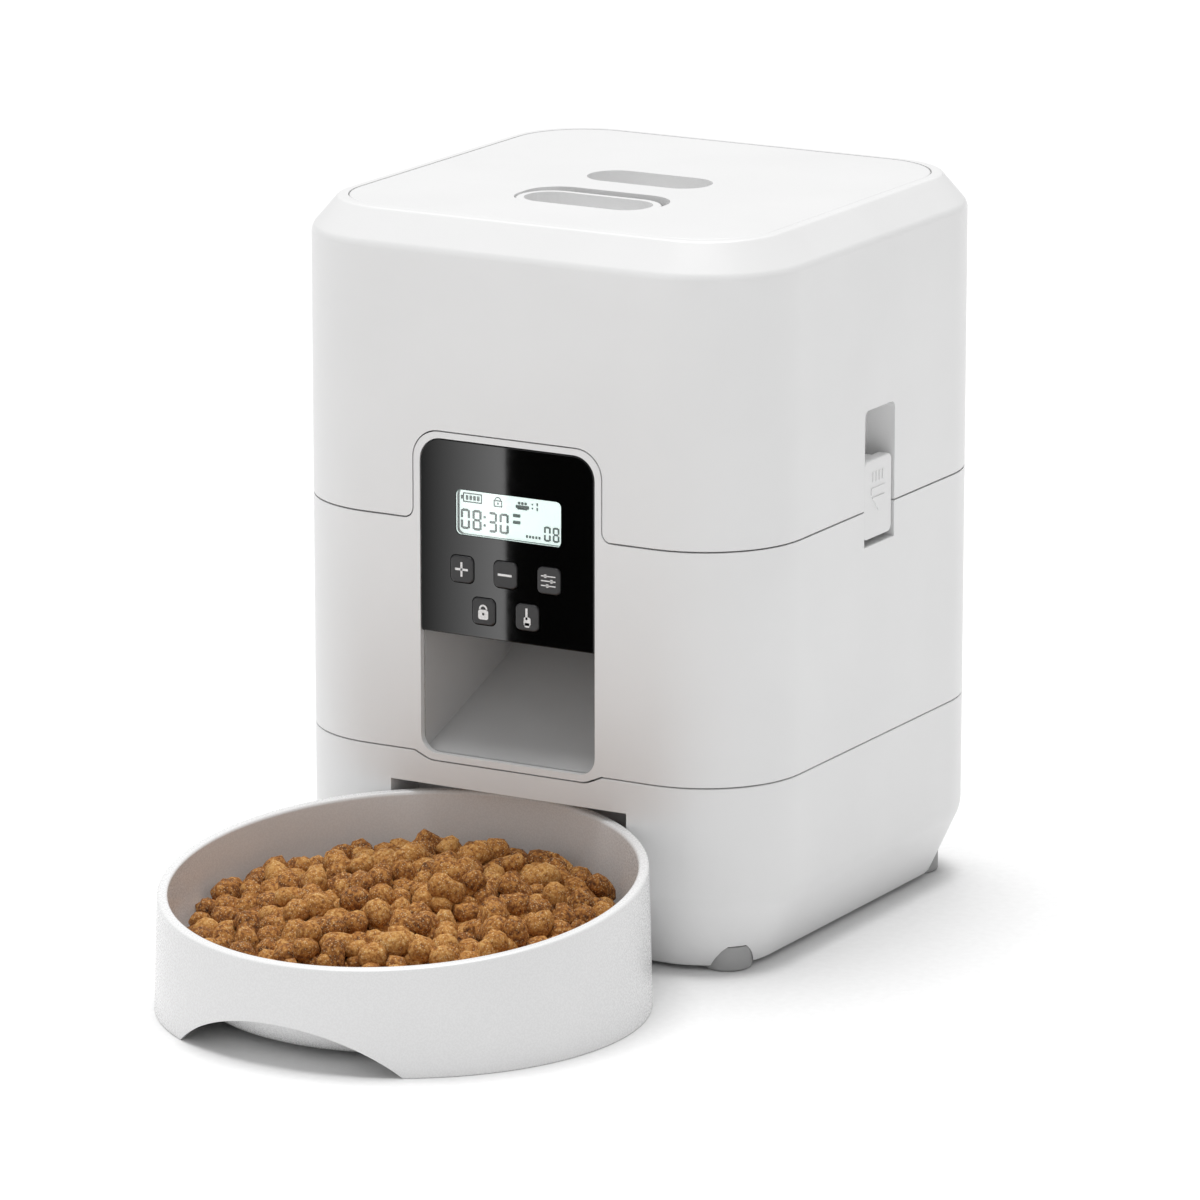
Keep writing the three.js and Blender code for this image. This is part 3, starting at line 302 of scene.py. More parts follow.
def turnedMetal(name, light, dark, rough, lineWidth):
    # drawn or turned metal: fine lines round the piece break its highlight
    material, tree = newMaterial(name)
    place = addNode(tree, "ShaderNodeTexCoord").outputs["Object"]
    lines = addNode(tree, "ShaderNodeTexNoise", {"Scale": 1 / (lineWidth * mm), "Detail": 4.0},
                    {"Vector": place})
    tone = colourBand(tree, lines.outputs["Fac"], [(0.35, dark), (0.65, light)])
    bump = addNode(tree, "ShaderNodeBump", {"Strength": 0.25, "Distance": 0.02 * mm},
                   {"Height": lines.outputs["Fac"]})
    shader = addNode(tree, "ShaderNodeBsdfPrincipled", {"Metallic": 1.0, "Roughness": rough}, {
        "Base Color": tone, "Normal": bump.outputs["Normal"],
    })
    closeMaterial(tree, shader)
    return material


def printedInk(name, hexColour, worn, rough):
    # pad-printed ink: opaque, a little thin where the ink pulled back
    material, tree = newMaterial(name)
    place = addNode(tree, "ShaderNodeTexCoord").outputs["Object"]
    pull = addNode(tree, "ShaderNodeTexNoise", {"Scale": 1 / (0.9 * mm), "Detail": 2.0}, {"Vector": place})
    tone = colourBand(tree, pull.outputs["Fac"], [(0.3, worn), (0.55, hexColour)])
    shader = addNode(tree, "ShaderNodeBsdfPrincipled", {"Roughness": rough}, {"Base Color": tone})
    closeMaterial(tree, shader)
    return material


def clearWindow():
    # polycarbonate, injection moulded: clear, with the sharp glint of a polished tool
    material, tree = newMaterial("polycarbonatePolishedClear")
    place = addNode(tree, "ShaderNodeTexCoord").outputs["Object"]
    wave = addNode(tree, "ShaderNodeTexNoise", {"Scale": 1 / (14 * mm), "Detail": 1.0}, {"Vector": place})
    bump = addNode(tree, "ShaderNodeBump", {"Strength": 0.2, "Distance": 0.01 * mm},
                   {"Height": wave.outputs["Fac"]})
    shader = addNode(tree, "ShaderNodeBsdfPrincipled", {
        "Base Color": linear("#FBFEFD"), "Roughness": 0.03, "IOR": 1.58, "Transmission Weight": 1.0,
    }, {"Normal": bump.outputs["Normal"]})
    closeMaterial(tree, shader)
    return material


def litDisplay():
    # a liquid crystal cell: pale mint with a faint random cloud; its glow is partly the backlight and partly
    # painted light standing in for the light that the clear window keeps off it
    material, tree = newMaterial("lcdCellBacklitPaintedGlow")
    place = addNode(tree, "ShaderNodeTexCoord").outputs["Object"]
    cloud = addNode(tree, "ShaderNodeTexNoise", {"Scale": 1 / (30 * mm), "Detail": 1.0}, {"Vector": place})
    tone = colourBand(tree, cloud.outputs["Fac"], [(0.3, "#DDEBE7"), (0.7, "#E6F2EF")])
    # the emission is partly backlight and partly a painted glow
    shader = addNode(tree, "ShaderNodeBsdfPrincipled", {"Roughness": 0.35, "Emission Strength": 0.85}, {
        "Base Color": tone, "Emission Color": tone,
    })
    closeMaterial(tree, shader)
    return material


def kibbleCrust():
    # extruded and baked meal: a rough open crust, a random tone per nugget, pale grain flecks; the crust
    # colour follows its bump, dark in the pits as painted shade and pale on the high spots
    material, tree = newMaterial("kibbleBakedCrust")
    place = addNode(tree, "ShaderNodeTexCoord").outputs["Object"]
    batch = addNode(tree, "ShaderNodeAttribute", {"attribute_name": "nuggetTone"})
    crumb = addNode(tree, "ShaderNodeTexNoise", {"Scale": 1 / (1.5 * mm), "Detail": 6.0, "Roughness": 0.7},
                    {"Vector": place})
    fleck = addNode(tree, "ShaderNodeTexVoronoi", {"Scale": 1 / (0.9 * mm)}, {"Vector": place})
    mixed = addNode(tree, "ShaderNodeMath", {"operation": "MULTIPLY_ADD", 1: 0.16}, {
        0: batch.outputs["Fac"], 2: crumb.outputs["Fac"],
    })
    # painted shade: the noise that raises the bump also darkens the crust in its pits
    crustAndPitShade = colourBand(tree, mixed.outputs[0], [
        (0.34, "#3A1F09"), (0.48, "#85501C"), (0.60, "#B67A36"), (0.76, "#D9A964"),
    ])
    spots = addNode(tree, "ShaderNodeMapRange",
                    {"From Min": 0.18, "From Max": 0.30, "To Min": 1.0, "To Max": 0.0},
                    {"Value": fleck.outputs["Distance"]})
    sparse = addNode(tree, "ShaderNodeMath", {"operation": "MULTIPLY"}, {
        0: spots.outputs["Result"], 1: crumb.outputs["Fac"],
    })
    tone = addNode(tree, "ShaderNodeMixRGB", {"blend_type": "MIX", "Color2": linear("#F2DDB2")}, {
        "Fac": sparse.outputs[0], "Color1": crustAndPitShade,
    })
    bump = addNode(tree, "ShaderNodeBump", {"Strength": 1.0, "Distance": 0.9 * mm},
                   {"Height": crumb.outputs["Fac"]})
    shader = addNode(tree, "ShaderNodeBsdfPrincipled", {"Roughness": 0.78, "IOR": 1.45}, {
        "Base Color": tone.outputs[0], "Normal": bump.outputs["Normal"],
    })
    closeMaterial(tree, shader)
    return material


finish = {
    # white ABS: bright and even, satin, so edges roll off softly
    "whiteAbs": mouldedPlastic("absMouldedSatinWhite", "#E8E8E8", "#E5E5E5", 0.33, 0.7, 0.006),
    # the bowl's ABS comes from a finer tool, so it is a shade glossier
    "bowlAbs": mouldedPlastic("absMouldedBowlWhite", "#E7E7E7", "#E5E5E5", 0.27, 0.6, 0.001),
    # inner mouldings: the same white ABS painted a darker grey, painted shade for the shadow inside the
    # outlet chute, with a dull tool finish
    "innerAbsPaintedShade": mouldedPlastic("absInnerPaintedShadeGrey", "#BCBCBC", "#B4B4B4", 0.42, 0.8, 0.008),
    "panel": mouldedPlastic("acrylicPolishedBlack", "#060606", "#050505", 0.035, 3.0, 0.0005, {"IOR": 1.49}),
    "button": mouldedPlastic("absMouldedCharcoal", "#2F2F30", "#29292A", 0.42, 0.5, 0.006),
    "rubber": mouldedPlastic("thermoplasticRubberGrey", "#A8A8A8", "#9C9C9C", 0.62, 0.6, 0.02),
    "nylon": mouldedPlastic("nylonMouldedBlack", "#1D1D1E", "#171718", 0.45, 0.6, 0.01),
    "board": mouldedPlastic("fr4BoardSolderMask", "#1F5A38", "#184A2E", 0.38, 1.4, 0.02),
    "silicone": mouldedPlastic("siliconePressedPale", "#DADDDD", "#CFD2D2", 0.55, 0.9, 0.01),
    "vane": mouldedPlastic("siliconeVaneBlueGrey", "#9BA8B0", "#8E9BA3", 0.58, 0.9, 0.015),
    "acetal": mouldedPlastic("acetalMouldedNatural", "#E9E7DF", "#DEDCD3", 0.36, 0.9, 0.006),
    "jacket": mouldedPlastic("pvcSleeveDarkBlue", "#26364D", "#1E2C40", 0.28, 1.2, 0.004),
    "steel": turnedMetal("steelDrawnBright", "#B9BBBD", "#9DA0A3", 0.3, 0.5),
    "clear": clearWindow(),
    "display": litDisplay(),
    "whiteInk": printedInk("inkPadPrintWhite", "#F1F1F1", "#D9D9D9", 0.5),
    "segmentInk": printedInk("lcdSegmentGrey", "#7E8C89", "#8D9B98", 0.6),
    "kibble": kibbleCrust(),
}
print("materials made")


def casing(name, low, high, inset=0):
    return roundedBlock(
        name, body["half"] - inset, body["half"] - inset, body["corner"] - inset, low, high,
        steps=body["cornerSteps"],
    )


def casingInside(name, low, high):
    return casing(name, low, high, body["wall"])


def frontTab(name, margin, foot):
    # the stepped outline round the panel: a wide foot, and the tab drawn up out of its middle
    half = outlet["tabHalf"] + margin
    fillet = outlet["tabFillet"] - margin
    reach = half + fillet
    front, back = -body["half"] - 2, -body["half"] + body["wall"] + 0.5
    piece = block(name, (-reach, front, foot - 12), (reach, back, foot))
    for side in (-1, 1):
        pick(piece, "FACE", lambda c, n: True)
        bpy.ops.mesh.bisect(plane_co=at(side * half, 0, 0), plane_no=(1, 0, 0))
        bpy.ops.object.mode_set(mode="OBJECT")
    pick(piece, "FACE", lambda c, n: near(c.z, foot) and near(c.x, 0, 1))
    rise = (outlet["tabTop"] + margin - foot) * mm
    bpy.ops.mesh.extrude_region_move(TRANSFORM_OT_translate={"value": (0, 0, rise)})
    bpy.ops.object.mode_set(mode="OBJECT")
    roundEdges(piece, fillet, 6, alongAxis(1, lambda a: near(a.z, foot) and near(abs(a.x), half)))
    roundEdges(piece, outlet["tabRadius"] + margin, 10,
               alongAxis(1, lambda a: near(a.z, outlet["tabTop"] + margin)))
    return piece


def frontSill(name, margin, edge):
    # the shallow tray shape under the outlet
    half = outlet["tabHalf"] + margin
    low = outlet["sillBottom"] - margin
    front, back = -body["half"] - 2, -body["half"] + body["wall"] + 0.5
    piece = block(name, (-half, front, low), (half, back, edge))
    pick(piece, "FACE", lambda c, n: n.z < -0.9)
    bpy.ops.transform.resize(value=((outlet["sillHalf"] + margin) / half, 1, 1), center_override=at(0, 0, 0))
    bpy.ops.object.mode_set(mode="OBJECT")
    pick(piece, "FACE", lambda c, n: n.z > 0.9)
    bpy.ops.mesh.extrude_region_move(TRANSFORM_OT_translate={"value": (0, 0, 6 * mm)})
    bpy.ops.object.mode_set(mode="OBJECT")
    roundEdges(piece, 1.6, 4, alongAxis(1, lambda a: near(a.z, low)))
    return piece


def latchBlock(name, side, shallow, deep, lowY, highY, lowZ, highZ):
    # shallow and deep are depths in from the side face
    a, b = side * (body["half"] - shallow), side * (body["half"] - deep)
    return block(name, (min(a, b), lowY, lowZ), (max(a, b), highY, highZ))


def latchRecess(name, side):
    half = latch["width"] / 2
    piece = latchBlock(name, side, -2, latch["depth"], latch["y"] - half, latch["y"] + half,
                       latch["bottom"], latch["top"])
    roundEdges(piece, latch["cornerRadius"], 6, alongAxis(0, lambda a: near(a.z, latch["top"])))
    return piece


def latchPocket(name, side, low, high):
    half = latch["width"] / 2 + latch["pocketWall"]
    return latchBlock(name, side, 1, latch["depth"] + latch["pocketWall"],
                      latch["y"] - half, latch["y"] + half, low, high)


def makeBase():
    base = {"dockHalf": 47.5, "dockTop": 57, "dockBack": -76, "footX": 74.2, "footY": 70.5,
            "footRadius": 8.7, "footHeight": 8.9, "footWall": 1.6, "jackZ": 48, "jackRadius": 4.5}
    outer = casing("base_casing", body["taperTop"], seam["base"])
    narrowEnd(outer, body["taperTop"], body["taperInset"], body["taperTop"] - body["foot"])
    solid = copyOf(outer, "base_solid")
    roundEdges(outer, body["seamRound"], 2, ringAt(seam["base"]))
    roundEdges(outer, 3.0, 5, ringAt(body["taperTop"]))
    roundEdges(outer, 1.0, 3, ringAt(body["foot"]))
    inner = casingInside("base_inside", body["taperTop"], seam["base"] + 5)
    slope = body["taperInset"] / (body["taperTop"] - body["foot"])
    depth = body["taperTop"] + 1
    narrowEnd(inner, body["taperTop"], slope * depth, depth)
    combine(outer, inner)
    wall = body["wall"]
    extras = [block("dock_walls", (-base["dockHalf"] - wall, -body["half"] - 2, body["foot"] + 0.4),
                    (base["dockHalf"] + wall, base["dockBack"] + wall, base["dockTop"] + wall))]
    for x in (-base["footX"], base["footX"]):
        for y in (-base["footY"], base["footY"]):
            extras.append(post("foot_cup", base["footRadius"] + 0.3 + base["footWall"], x, y,
                               body["foot"] + 0.4, base["footHeight"] + 0.3 + base["footWall"]))
    shrunk = combine(joined("base_extras", extras), solid, "INTERSECT")
    combine(outer, shrunk, "UNION")
    combine(outer, block("dock", (-base["dockHalf"], -body["half"] - 3, -2),
                         (base["dockHalf"], base["dockBack"], base["dockTop"])))
    for x in (-base["footX"], base["footX"]):
        for y in (-base["footY"], base["footY"]):
            combine(outer, post("foot_bore", base["footRadius"] + 0.3, x, y, -2, base["footHeight"] + 0.3))
    combine(outer, frontSill("sill_notch", seam["gap"], seam["base"]))
    jackHole = barrel("jack_hole", base["jackRadius"], 0, base["jackZ"],
                      body["half"] - 4, body["half"] + 2, 32)
    combine(outer, jackHole)
    outer.name = "base_casing"
    smooth(outer, 20)
    finishPiece(outer, "base", finish["whiteAbs"], ["base_shell"])
    footNames = {(-1, -1): "front_left", (1, -1): "front_right", (-1, 1): "rear_left", (1, 1): "rear_right"}
    for (signX, signY), place in footNames.items():
        foot = post("rubber_" + place, base["footRadius"], signX * base["footX"], signY * base["footY"],
                    0, base["footHeight"])
        roundEdges(foot, 1.2, 4, ringAt(0))
        roundEdges(foot, 0.5, 2, ringAt(base["footHeight"]))
        smooth(foot)
        finishPiece(foot, "base", finish["rubber"], ["foot_" + place])
    print("base and feet made")


def makeHousing():
    deck = {"top": 148.2, "thickness": 2.2, "frontY": -76.6, "drumY": 12, "drumBore": 48.3}
    shell = casing("drive_casing", outlet["sillBottom"], outlet["tabTop"] + 2)
    combine(shell, casingInside("housing_inside", 50, 200))
    wide = body["half"] + 5
    above = block("above", (-wide, -wide, seam["housingHigh"]), (wide, wide, outlet["tabTop"] + 10))
    combine(above, frontTab("tab", 0, seam["housingHigh"]))
    combine(shell, above)
    below = block("below", (-wide, -wide, outlet["sillBottom"] - 8), (wide, wide, seam["housingLow"]))
    combine(below, frontSill("sill", 0, seam["housingLow"]))
    combine(shell, below)
    plate = casing("deck", deck["top"] - deck["thickness"], deck["top"], body["wall"] - 0.2)
    reach = outlet["tabHalf"] + 2
    combine(plate, block("deck_front", (-reach, -body["half"] - 2, 100), (reach, deck["frontY"], 160)))
    combine(plate, post("deck_bore", deck["drumBore"], 0, deck["drumY"], 100, 160, 64))
    combine(shell, plate, "UNION")
    for side in (-1, 1):
        combine(shell, latchPocket("pocket", side, latch["bottom"] - latch["pocketWall"],
                                   seam["housingHigh"] - hair), "UNION")
        combine(shell, latchRecess("recess", side))
        a, b = sorted((side * (body["half"] - 15.4), side * (body["half"] - 17.4)))
        catch = block("catch", (a, latch["y"] - 5, deck["top"] - 1), (b, latch["y"] + 5, 163))
        combine(catch, block("window", (a - 1, latch["y"] - 3.4, 155.5), (b + 1, latch["y"] + 3.4, 160.1)))
        combine(shell, catch, "UNION")
    front = block("front_opening", (-outlet["half"], -body["half"] - 3, outlet["sill"]),
                  (outlet["half"], -body["half"] + body["wall"] + 1, outlet["panelTop"]))
    roundEdges(front, outlet["lowRadius"], 8, alongAxis(1, lambda a: near(a.z, outlet["sill"])))
    roundEdges(front, outlet["highRadius"], 10, alongAxis(1, lambda a: near(a.z, outlet["panelTop"])))
    combine(shell, front)
    shell.name = "drive_casing"
    smooth(shell)
    finishPiece(shell, "base", finish["whiteAbs"], ["middle_housing"])
    print("drive housing made")


def makeHopper():
    top = hopperHigh.z / mm
    hopper = {"ledgeBottom": 252.2, "ledgeTop": 254.6, "lidHalf": 82.8, "lidRadius": 27.3,
              "hatchHalf": 78, "hatchRadius": 22.2}
    shell = casing("hopper_casing", seam["hopper"], body["bevelStart"])
    narrowEnd(shell, body["bevelStart"], body["bevelInset"], body["bevelRise"])
    roundEdges(shell, body["seamRound"], 2, ringAt(seam["hopper"]))
    roundEdges(shell, 1.7, 5, ringAt(body["bevelStart"]))
    roundEdges(shell, 0.8, 4, ringAt(top))
    inner = casingInside("hopper_inside", seam["hopper"] - 5, body["bevelStart"])
    rise = hopper["ledgeBottom"] - body["bevelStart"]
    narrowEnd(inner, body["bevelStart"], body["bevelInset"] * rise / body["bevelRise"], rise)
    combine(shell, inner)
    for side in (-1, 1):
        combine(shell, latchPocket("pocket", side, seam["hopper"] + hair, latch["top"] + 1.6), "UNION")
        combine(shell, latchRecess("recess", side))
        y, back = latch["y"], latch["depth"]
        combine(shell, latchBlock("stem_slot", side, back - 1, back + 3, y - 2.8, y + 2.8, 153.7, 159.9))
        combine(shell, latchBlock("arm_slot", side, back - 1, back + 3, y - 3.3, y + 3.3, 163.1, 166.7))
        half = latch["width"] / 2 + 0.2
        combine(shell, latchBlock("latch_sill", side, 5.8, back + 1, y - half, y + half,
                                  seam["hopper"], seam["hopper"] + 1.2), "UNION")
    combine(shell, roundedBlock("lid_room", hopper["lidHalf"], hopper["lidHalf"], hopper["lidRadius"],
                                hopper["ledgeTop"], top + 5, steps=16))
    combine(shell, roundedBlock("hatch", hopper["hatchHalf"], hopper["hatchHalf"], hopper["hatchRadius"],
                                hopper["ledgeBottom"] - 4, top + 5, steps=16))
    combine(shell, frontTab("tab_room", seam["gap"], seam["hopper"]))
    shell.name = "hopper_casing"
    smooth(shell)
    finishPiece(shell, "hopper", finish["whiteAbs"], ["hopper_shell"])
    print("hopper made")


def makeLid():
    top = lidHigh.z / mm
    lid = {"half": 82.5, "radius": 27, "thickness": 3.2, "edge": 0.7, "wellLength": 48, "wellWidth": 21,
           "wellY": 5.5, "wellDepth": 11, "wellWall": 1.6, "openX": 28, "openY": 15.6, "openRadius": 13,
           "openCentreY": -35.6}
    low = top - lid["thickness"]
    plate = roundedBlock("lid_plate", lid["half"], lid["half"], lid["radius"], low, top, steps=16)
    roundEdges(plate, lid["edge"], 4, ringAt(top))
    wall = lid["wellWall"]
    well = roundedBlock("well_outer", lid["wellLength"] / 2 + wall, lid["wellWidth"] / 2 + wall, 99,
                        top - lid["wellDepth"] - wall, low + 0.5, y=lid["wellY"], steps=14)
    combine(plate, well, "UNION")
    hollow = roundedBlock("well_inner", lid["wellLength"] / 2, lid["wellWidth"] / 2, 99,
                          top - lid["wellDepth"], top, y=lid["wellY"], steps=14)
    roundEdges(hollow, 1.6, 4, ringAt(top - lid["wellDepth"]))
    narrowEnd(hollow, top, -0.7, 0.5)  # flared mouth, so the well's lip is eased
    combine(plate, hollow)
    combine(plate, roundedBlock("latch_room", lid["openX"], lid["openY"], lid["openRadius"], low - 1, top + 1,
                                y=lid["openCentreY"], steps=14))
    roundEdges(plate, 1.0, 3, lambda a, b: near(a.y, lid["half"], 0.9) and near(b.y, lid["half"], 0.9)
               and a.z > top - 0.9 and b.z > top - 0.9 and abs(a.x - b.x) > 60 and a.y > lid["half"] - 0.1)
    smooth(plate)
    finishPiece(plate, "lid", finish["whiteAbs"], ["lid"])
    print("lid made")


def makeLidLatch():
    top = lidHigh.z / mm - 0.3
    cup = {"length": 49, "width": 19.2, "rim": 3.1, "y": -38.2, "depth": 11, "floor": 1.4, "edge": 0.9,
           "flangeLow": 252.6, "flangeHigh": 254.9, "tongueY": -77.4, "tongueLow": 249.4, "tongueHigh": 251.9}
    halfX, halfY = cup["length"] / 2 + cup["rim"], cup["width"] / 2 + cup["rim"]
    low = top - cup["depth"]
    outer = roundedBlock("lid_latch_cup", halfX, halfY, 99, low, top, y=cup["y"], steps=14)
    roundEdges(outer, cup["edge"], 4, ringAt(top))
    back = cup["y"] + halfY + 1.8
    flange = block("flange", (-halfX - 3, cup["y"] - halfY - 3, cup["flangeLow"]),
                   (halfX + 3, back, cup["flangeHigh"]))
    rear = block("rear", (-5, back - 3, low), (5, back, cup["flangeHigh"] - hair))
    tongue = block("tongue", (-9, cup["tongueY"], cup["tongueLow"]),
                   (9, cup["y"] - halfY + 1, cup["tongueHigh"]))
    roundEdges(tongue, 0.8, 3, alongAxis(0, lambda a: near(a.y, cup["tongueY"])))
    for extra in (flange, rear, tongue):
        combine(outer, extra, "UNION")
    hollow = roundedBlock("cup_inner", cup["length"] / 2, cup["width"] / 2, 99, low + cup["floor"], top,
                          y=cup["y"], steps=14)
    roundEdges(hollow, 1.6, 4, ringAt(low + cup["floor"]))
    narrowEnd(hollow, top, -0.9, 0.6)
    combine(outer, hollow)
    smooth(outer)
    finishPiece(outer, "lid_latch", finish["whiteAbs"], ["lid_latch"])
    print("lid latch made")


def makeSideLatches():
    press = {"low": 141.3, "high": 169.5, "face": 0.6, "back": 4.6, "markDepth": 0.35,
             "barZ": 158.0, "barHigh": 2.6, "barHalf": 5.2, "tipZ": 150.9, "gripZ": 163.2, "gripHigh": 3.6}
    wedgeLow = press["high"] - 4.5
    for place, side in (("left", -1), ("right", 1)):
        y, half = latch["y"], latch["tabWidth"] / 2
        tab = latchBlock("press_" + place, side, press["face"], press["back"], y - half, y + half,
                         press["low"], press["high"])
        roundEdges(tab, latch["tabRadius"], 6, alongAxis(0))
        faceX = side * (body["half"] - press["face"])
        roundEdges(tab, 0.5, 3, lambda a, b: near(a.x, faceX) and near(b.x, faceX))
        stem = latchBlock("stem", side, 4.5, 14.8, y - 2.4, y + 2.4, 156.5, 159.5)
        shelf = latchBlock("shelf", side, 4.5, 10.6, y + 2.8, y + half - 0.6, 161.1, 162.6)
        wedge = latchBlock("wedge", side, 4.5, 5, y - 3, y + 3, wedgeLow, press["high"] - hair)
        pick(wedge, "EDGE", lambda a, b: near(a.x, side * (body["half"] - 5)) and near(b.x, a.x)
             and a.z > wedgeLow + 1 and b.z > wedgeLow + 1)
        bpy.ops.transform.translate(value=(-side * 1.25 * 4.5 * mm, 0, 0))
        bpy.ops.object.mode_set(mode="OBJECT")
        for extra in (stem, shelf, wedge):
            combine(tab, extra, "UNION")
        # raised marks: a row of grip ribs, a bar, and a triangle that points the way to press
        raised = press["face"] - press["markDepth"]
        for row in range(4):
            ribY = y - 3.6 + row * 2.4
            rib = latchBlock("rib", side, raised, press["face"] + 0.6, ribY - 0.55, ribY + 0.55,
                             press["gripZ"] - press["gripHigh"] / 2, press["gripZ"] + press["gripHigh"] / 2)
            combine(tab, rib, "UNION")
        bar = latchBlock("bar", side, raised, press["face"] + 0.6, y - press["barHalf"], y + press["barHalf"],
                         press["barZ"] - press["barHigh"] / 2, press["barZ"] + press["barHigh"] / 2)
        arrow = latchBlock("arrow", side, raised, press["face"] + 0.6, y - press["barHalf"] + 0.6,
                           y + press["barHalf"] - 0.6, press["tipZ"],
                           press["barZ"] - press["barHigh"] / 2 - 0.8)
        pick(arrow, "FACE", lambda c, n: n.z < -0.9)
        bpy.ops.transform.resize(value=(1, 0.04, 1), center_override=at(faceX, y, press["tipZ"]))
        bpy.ops.object.mode_set(mode="OBJECT")
        combine(tab, bar, "UNION")
        combine(tab, arrow, "UNION")
        tab.name = "press_" + place
        smooth(tab)
        finishPiece(tab, "latch_" + place, finish["whiteAbs"], ["latch_" + place])
    print("side latches made")


display = {"halfX": 21, "halfZ": 8, "x": 0.6, "z": 156.4, "radius": 2}
buttons = {"halfX": 4.6, "halfZ": 4.75, "radius": 2, "pitch": 17.4, "x": -0.5, "z": 136.1, "drop": 14.1}
buttonPlaces = {
    "plus": (buttons["x"] - buttons["pitch"], buttons["z"]),
    "minus": (buttons["x"], buttons["z"]),
    "set": (buttons["x"] + buttons["pitch"], buttons["z"]),
    "lock": (buttons["x"] - buttons["pitch"] / 2, buttons["z"] - buttons["drop"]),
    "feed": (buttons["x"] + buttons["pitch"] / 2, buttons["z"] - buttons["drop"]),
}


def faceBlock(name, x, z, halfX, halfZ, front, back, radius=0, steps=6):
    # a block standing on the front face, its corners rounded as seen from the front
    piece = block(name, (x - halfX, front, z - halfZ), (x + halfX, back, z + halfZ))
    if radius:
        roundEdges(piece, min(radius, min(halfX, halfZ) * 0.998), steps, alongAxis(1))
    return piece


def makePanel():
    panel = {"face": -94.9, "back": -91.1, "clear": 0.3, "edge": 0.35, "lowRadius": 0.6,
             "flangeSide": 1.8, "flangeTop": 1.5, "flangeDepth": 1.2, "flangeRound": 1.2,
             "windowFace": -94.85, "windowBack": -93.4, "windowGap": 0.15, "keyGap": 0.3,
             "cutFront": -98, "cutBack": -90}
    half = outlet["half"] - panel["clear"]
    low, high = outlet["top"] + panel["clear"], outlet["panelTop"] - panel["clear"]
    plate = block("panel_face", (-half, panel["face"], low), (half, panel["back"], high))
    roundEdges(plate, outlet["highRadius"] - panel["clear"], 12, alongAxis(1, lambda a: near(a.z, high)))
    roundEdges(plate, panel["lowRadius"], 3, alongAxis(1, lambda a: near(a.z, low)))
    roundEdges(plate, panel["edge"], 3, lambda a, b: near(a.y, panel["face"]) and near(b.y, panel["face"]))
    flangeTop = high + panel["flangeTop"]
    flange = block("flange", (-half - panel["flangeSide"], panel["back"] - panel["flangeDepth"],
                              low + panel["flangeSide"]),
                   (half + panel["flangeSide"], panel["back"] - hair, flangeTop))
    roundEdges(flange, outlet["highRadius"] + panel["flangeRound"], 8,
               alongAxis(1, lambda a: near(a.z, flangeTop)))
    combine(plate, flange, "UNION")
    combine(plate, faceBlock("window_room", display["x"], display["z"],
                             display["halfX"] + panel["windowGap"], display["halfZ"] + panel["windowGap"],
                             panel["cutFront"], panel["cutBack"], display["radius"]))
    for x, z in buttonPlaces.values():
        combine(plate, faceBlock("button_room", x, z, buttons["halfX"] + panel["keyGap"],
                                 buttons["halfZ"] + panel["keyGap"], panel["cutFront"],
                                 panel["cutBack"], buttons["radius"] + panel["keyGap"]))
    plate.name = "panel_face"
    smooth(plate)
    finishPiece(plate, "base", finish["panel"], ["control_panel"])
    window = faceBlock("display_window", display["x"], display["z"], display["halfX"], display["halfZ"],
                       panel["windowFace"], panel["windowBack"], display["radius"])
    roundEdges(window, 0.2, 2, lambda a, b: near(a.y, panel["windowFace"]) and near(b.y, panel["windowFace"]))
    smooth(window)
    finishPiece(window, "base", finish["clear"], ["lcd_window"])
    print("panel made")


def bars(name, places, front, depth):
    # thin printed bars, each (x, z, halfX, halfZ)
    return joined(name, [
        faceBlock("bar", x, z, halfX, halfZ, front, front + depth, min(halfX, halfZ) * 0.4, 2)
        for x, z, halfX, halfZ in places
    ])


def digitBars(text, x, z, high, lean=0.5, thick=0.44):
    # seven bars to a digit, lit as the numeral needs; a colon is two dots
    lit = {"0": "abcdef", "1": "bc", "3": "abcdg", "8": "abcdefg"}
    wide = high * lean
    made = []
    for sign in text:
        if sign == ":":
            made += [(x + 0.2, z + high * 0.2, thick, thick), (x + 0.2, z - high * 0.2, thick, thick)]
            x += wide * 0.42
            continue
        right, upper, quarter = wide / 2 - thick, high / 2 - thick, high / 4
        long, tall = wide / 2 - thick * 1.5, high / 4 - thick * 0.9
        spots = {"a": (0, upper, long, thick), "g": (0, 0, long, thick), "d": (0, -upper, long, thick),
                 "b": (right, quarter, thick, tall), "c": (right, -quarter, thick, tall),
                 "f": (-right, quarter, thick, tall), "e": (-right, -quarter, thick, tall)}
        made += [(x + spots[k][0] + wide / 2, z + spots[k][1], spots[k][2], spots[k][3]) for k in lit[sign]]
        x += wide * 1.28
    return made


def shackle(name, x, z, radius, thick, front, depth):
    # the bow of a padlock: a ring whose lower half is cut off
    bpy.ops.object.select_all(action="DESELECT")
    bpy.ops.mesh.primitive_cylinder_add(vertices=32, radius=(radius + thick) * mm, depth=depth * mm,
                                        location=at(x, front + depth / 2, z), rotation=(math.pi / 2, 0, 0))
    ring = takeActive(name)
    combine(ring, barrel("hole", radius - thick, x, z, front - 1, front + depth + 1, 32))
    combine(ring, block("lower", (x - 9, front - 1, z - 9), (x + 9, front + depth + 1, z)))
    return ring


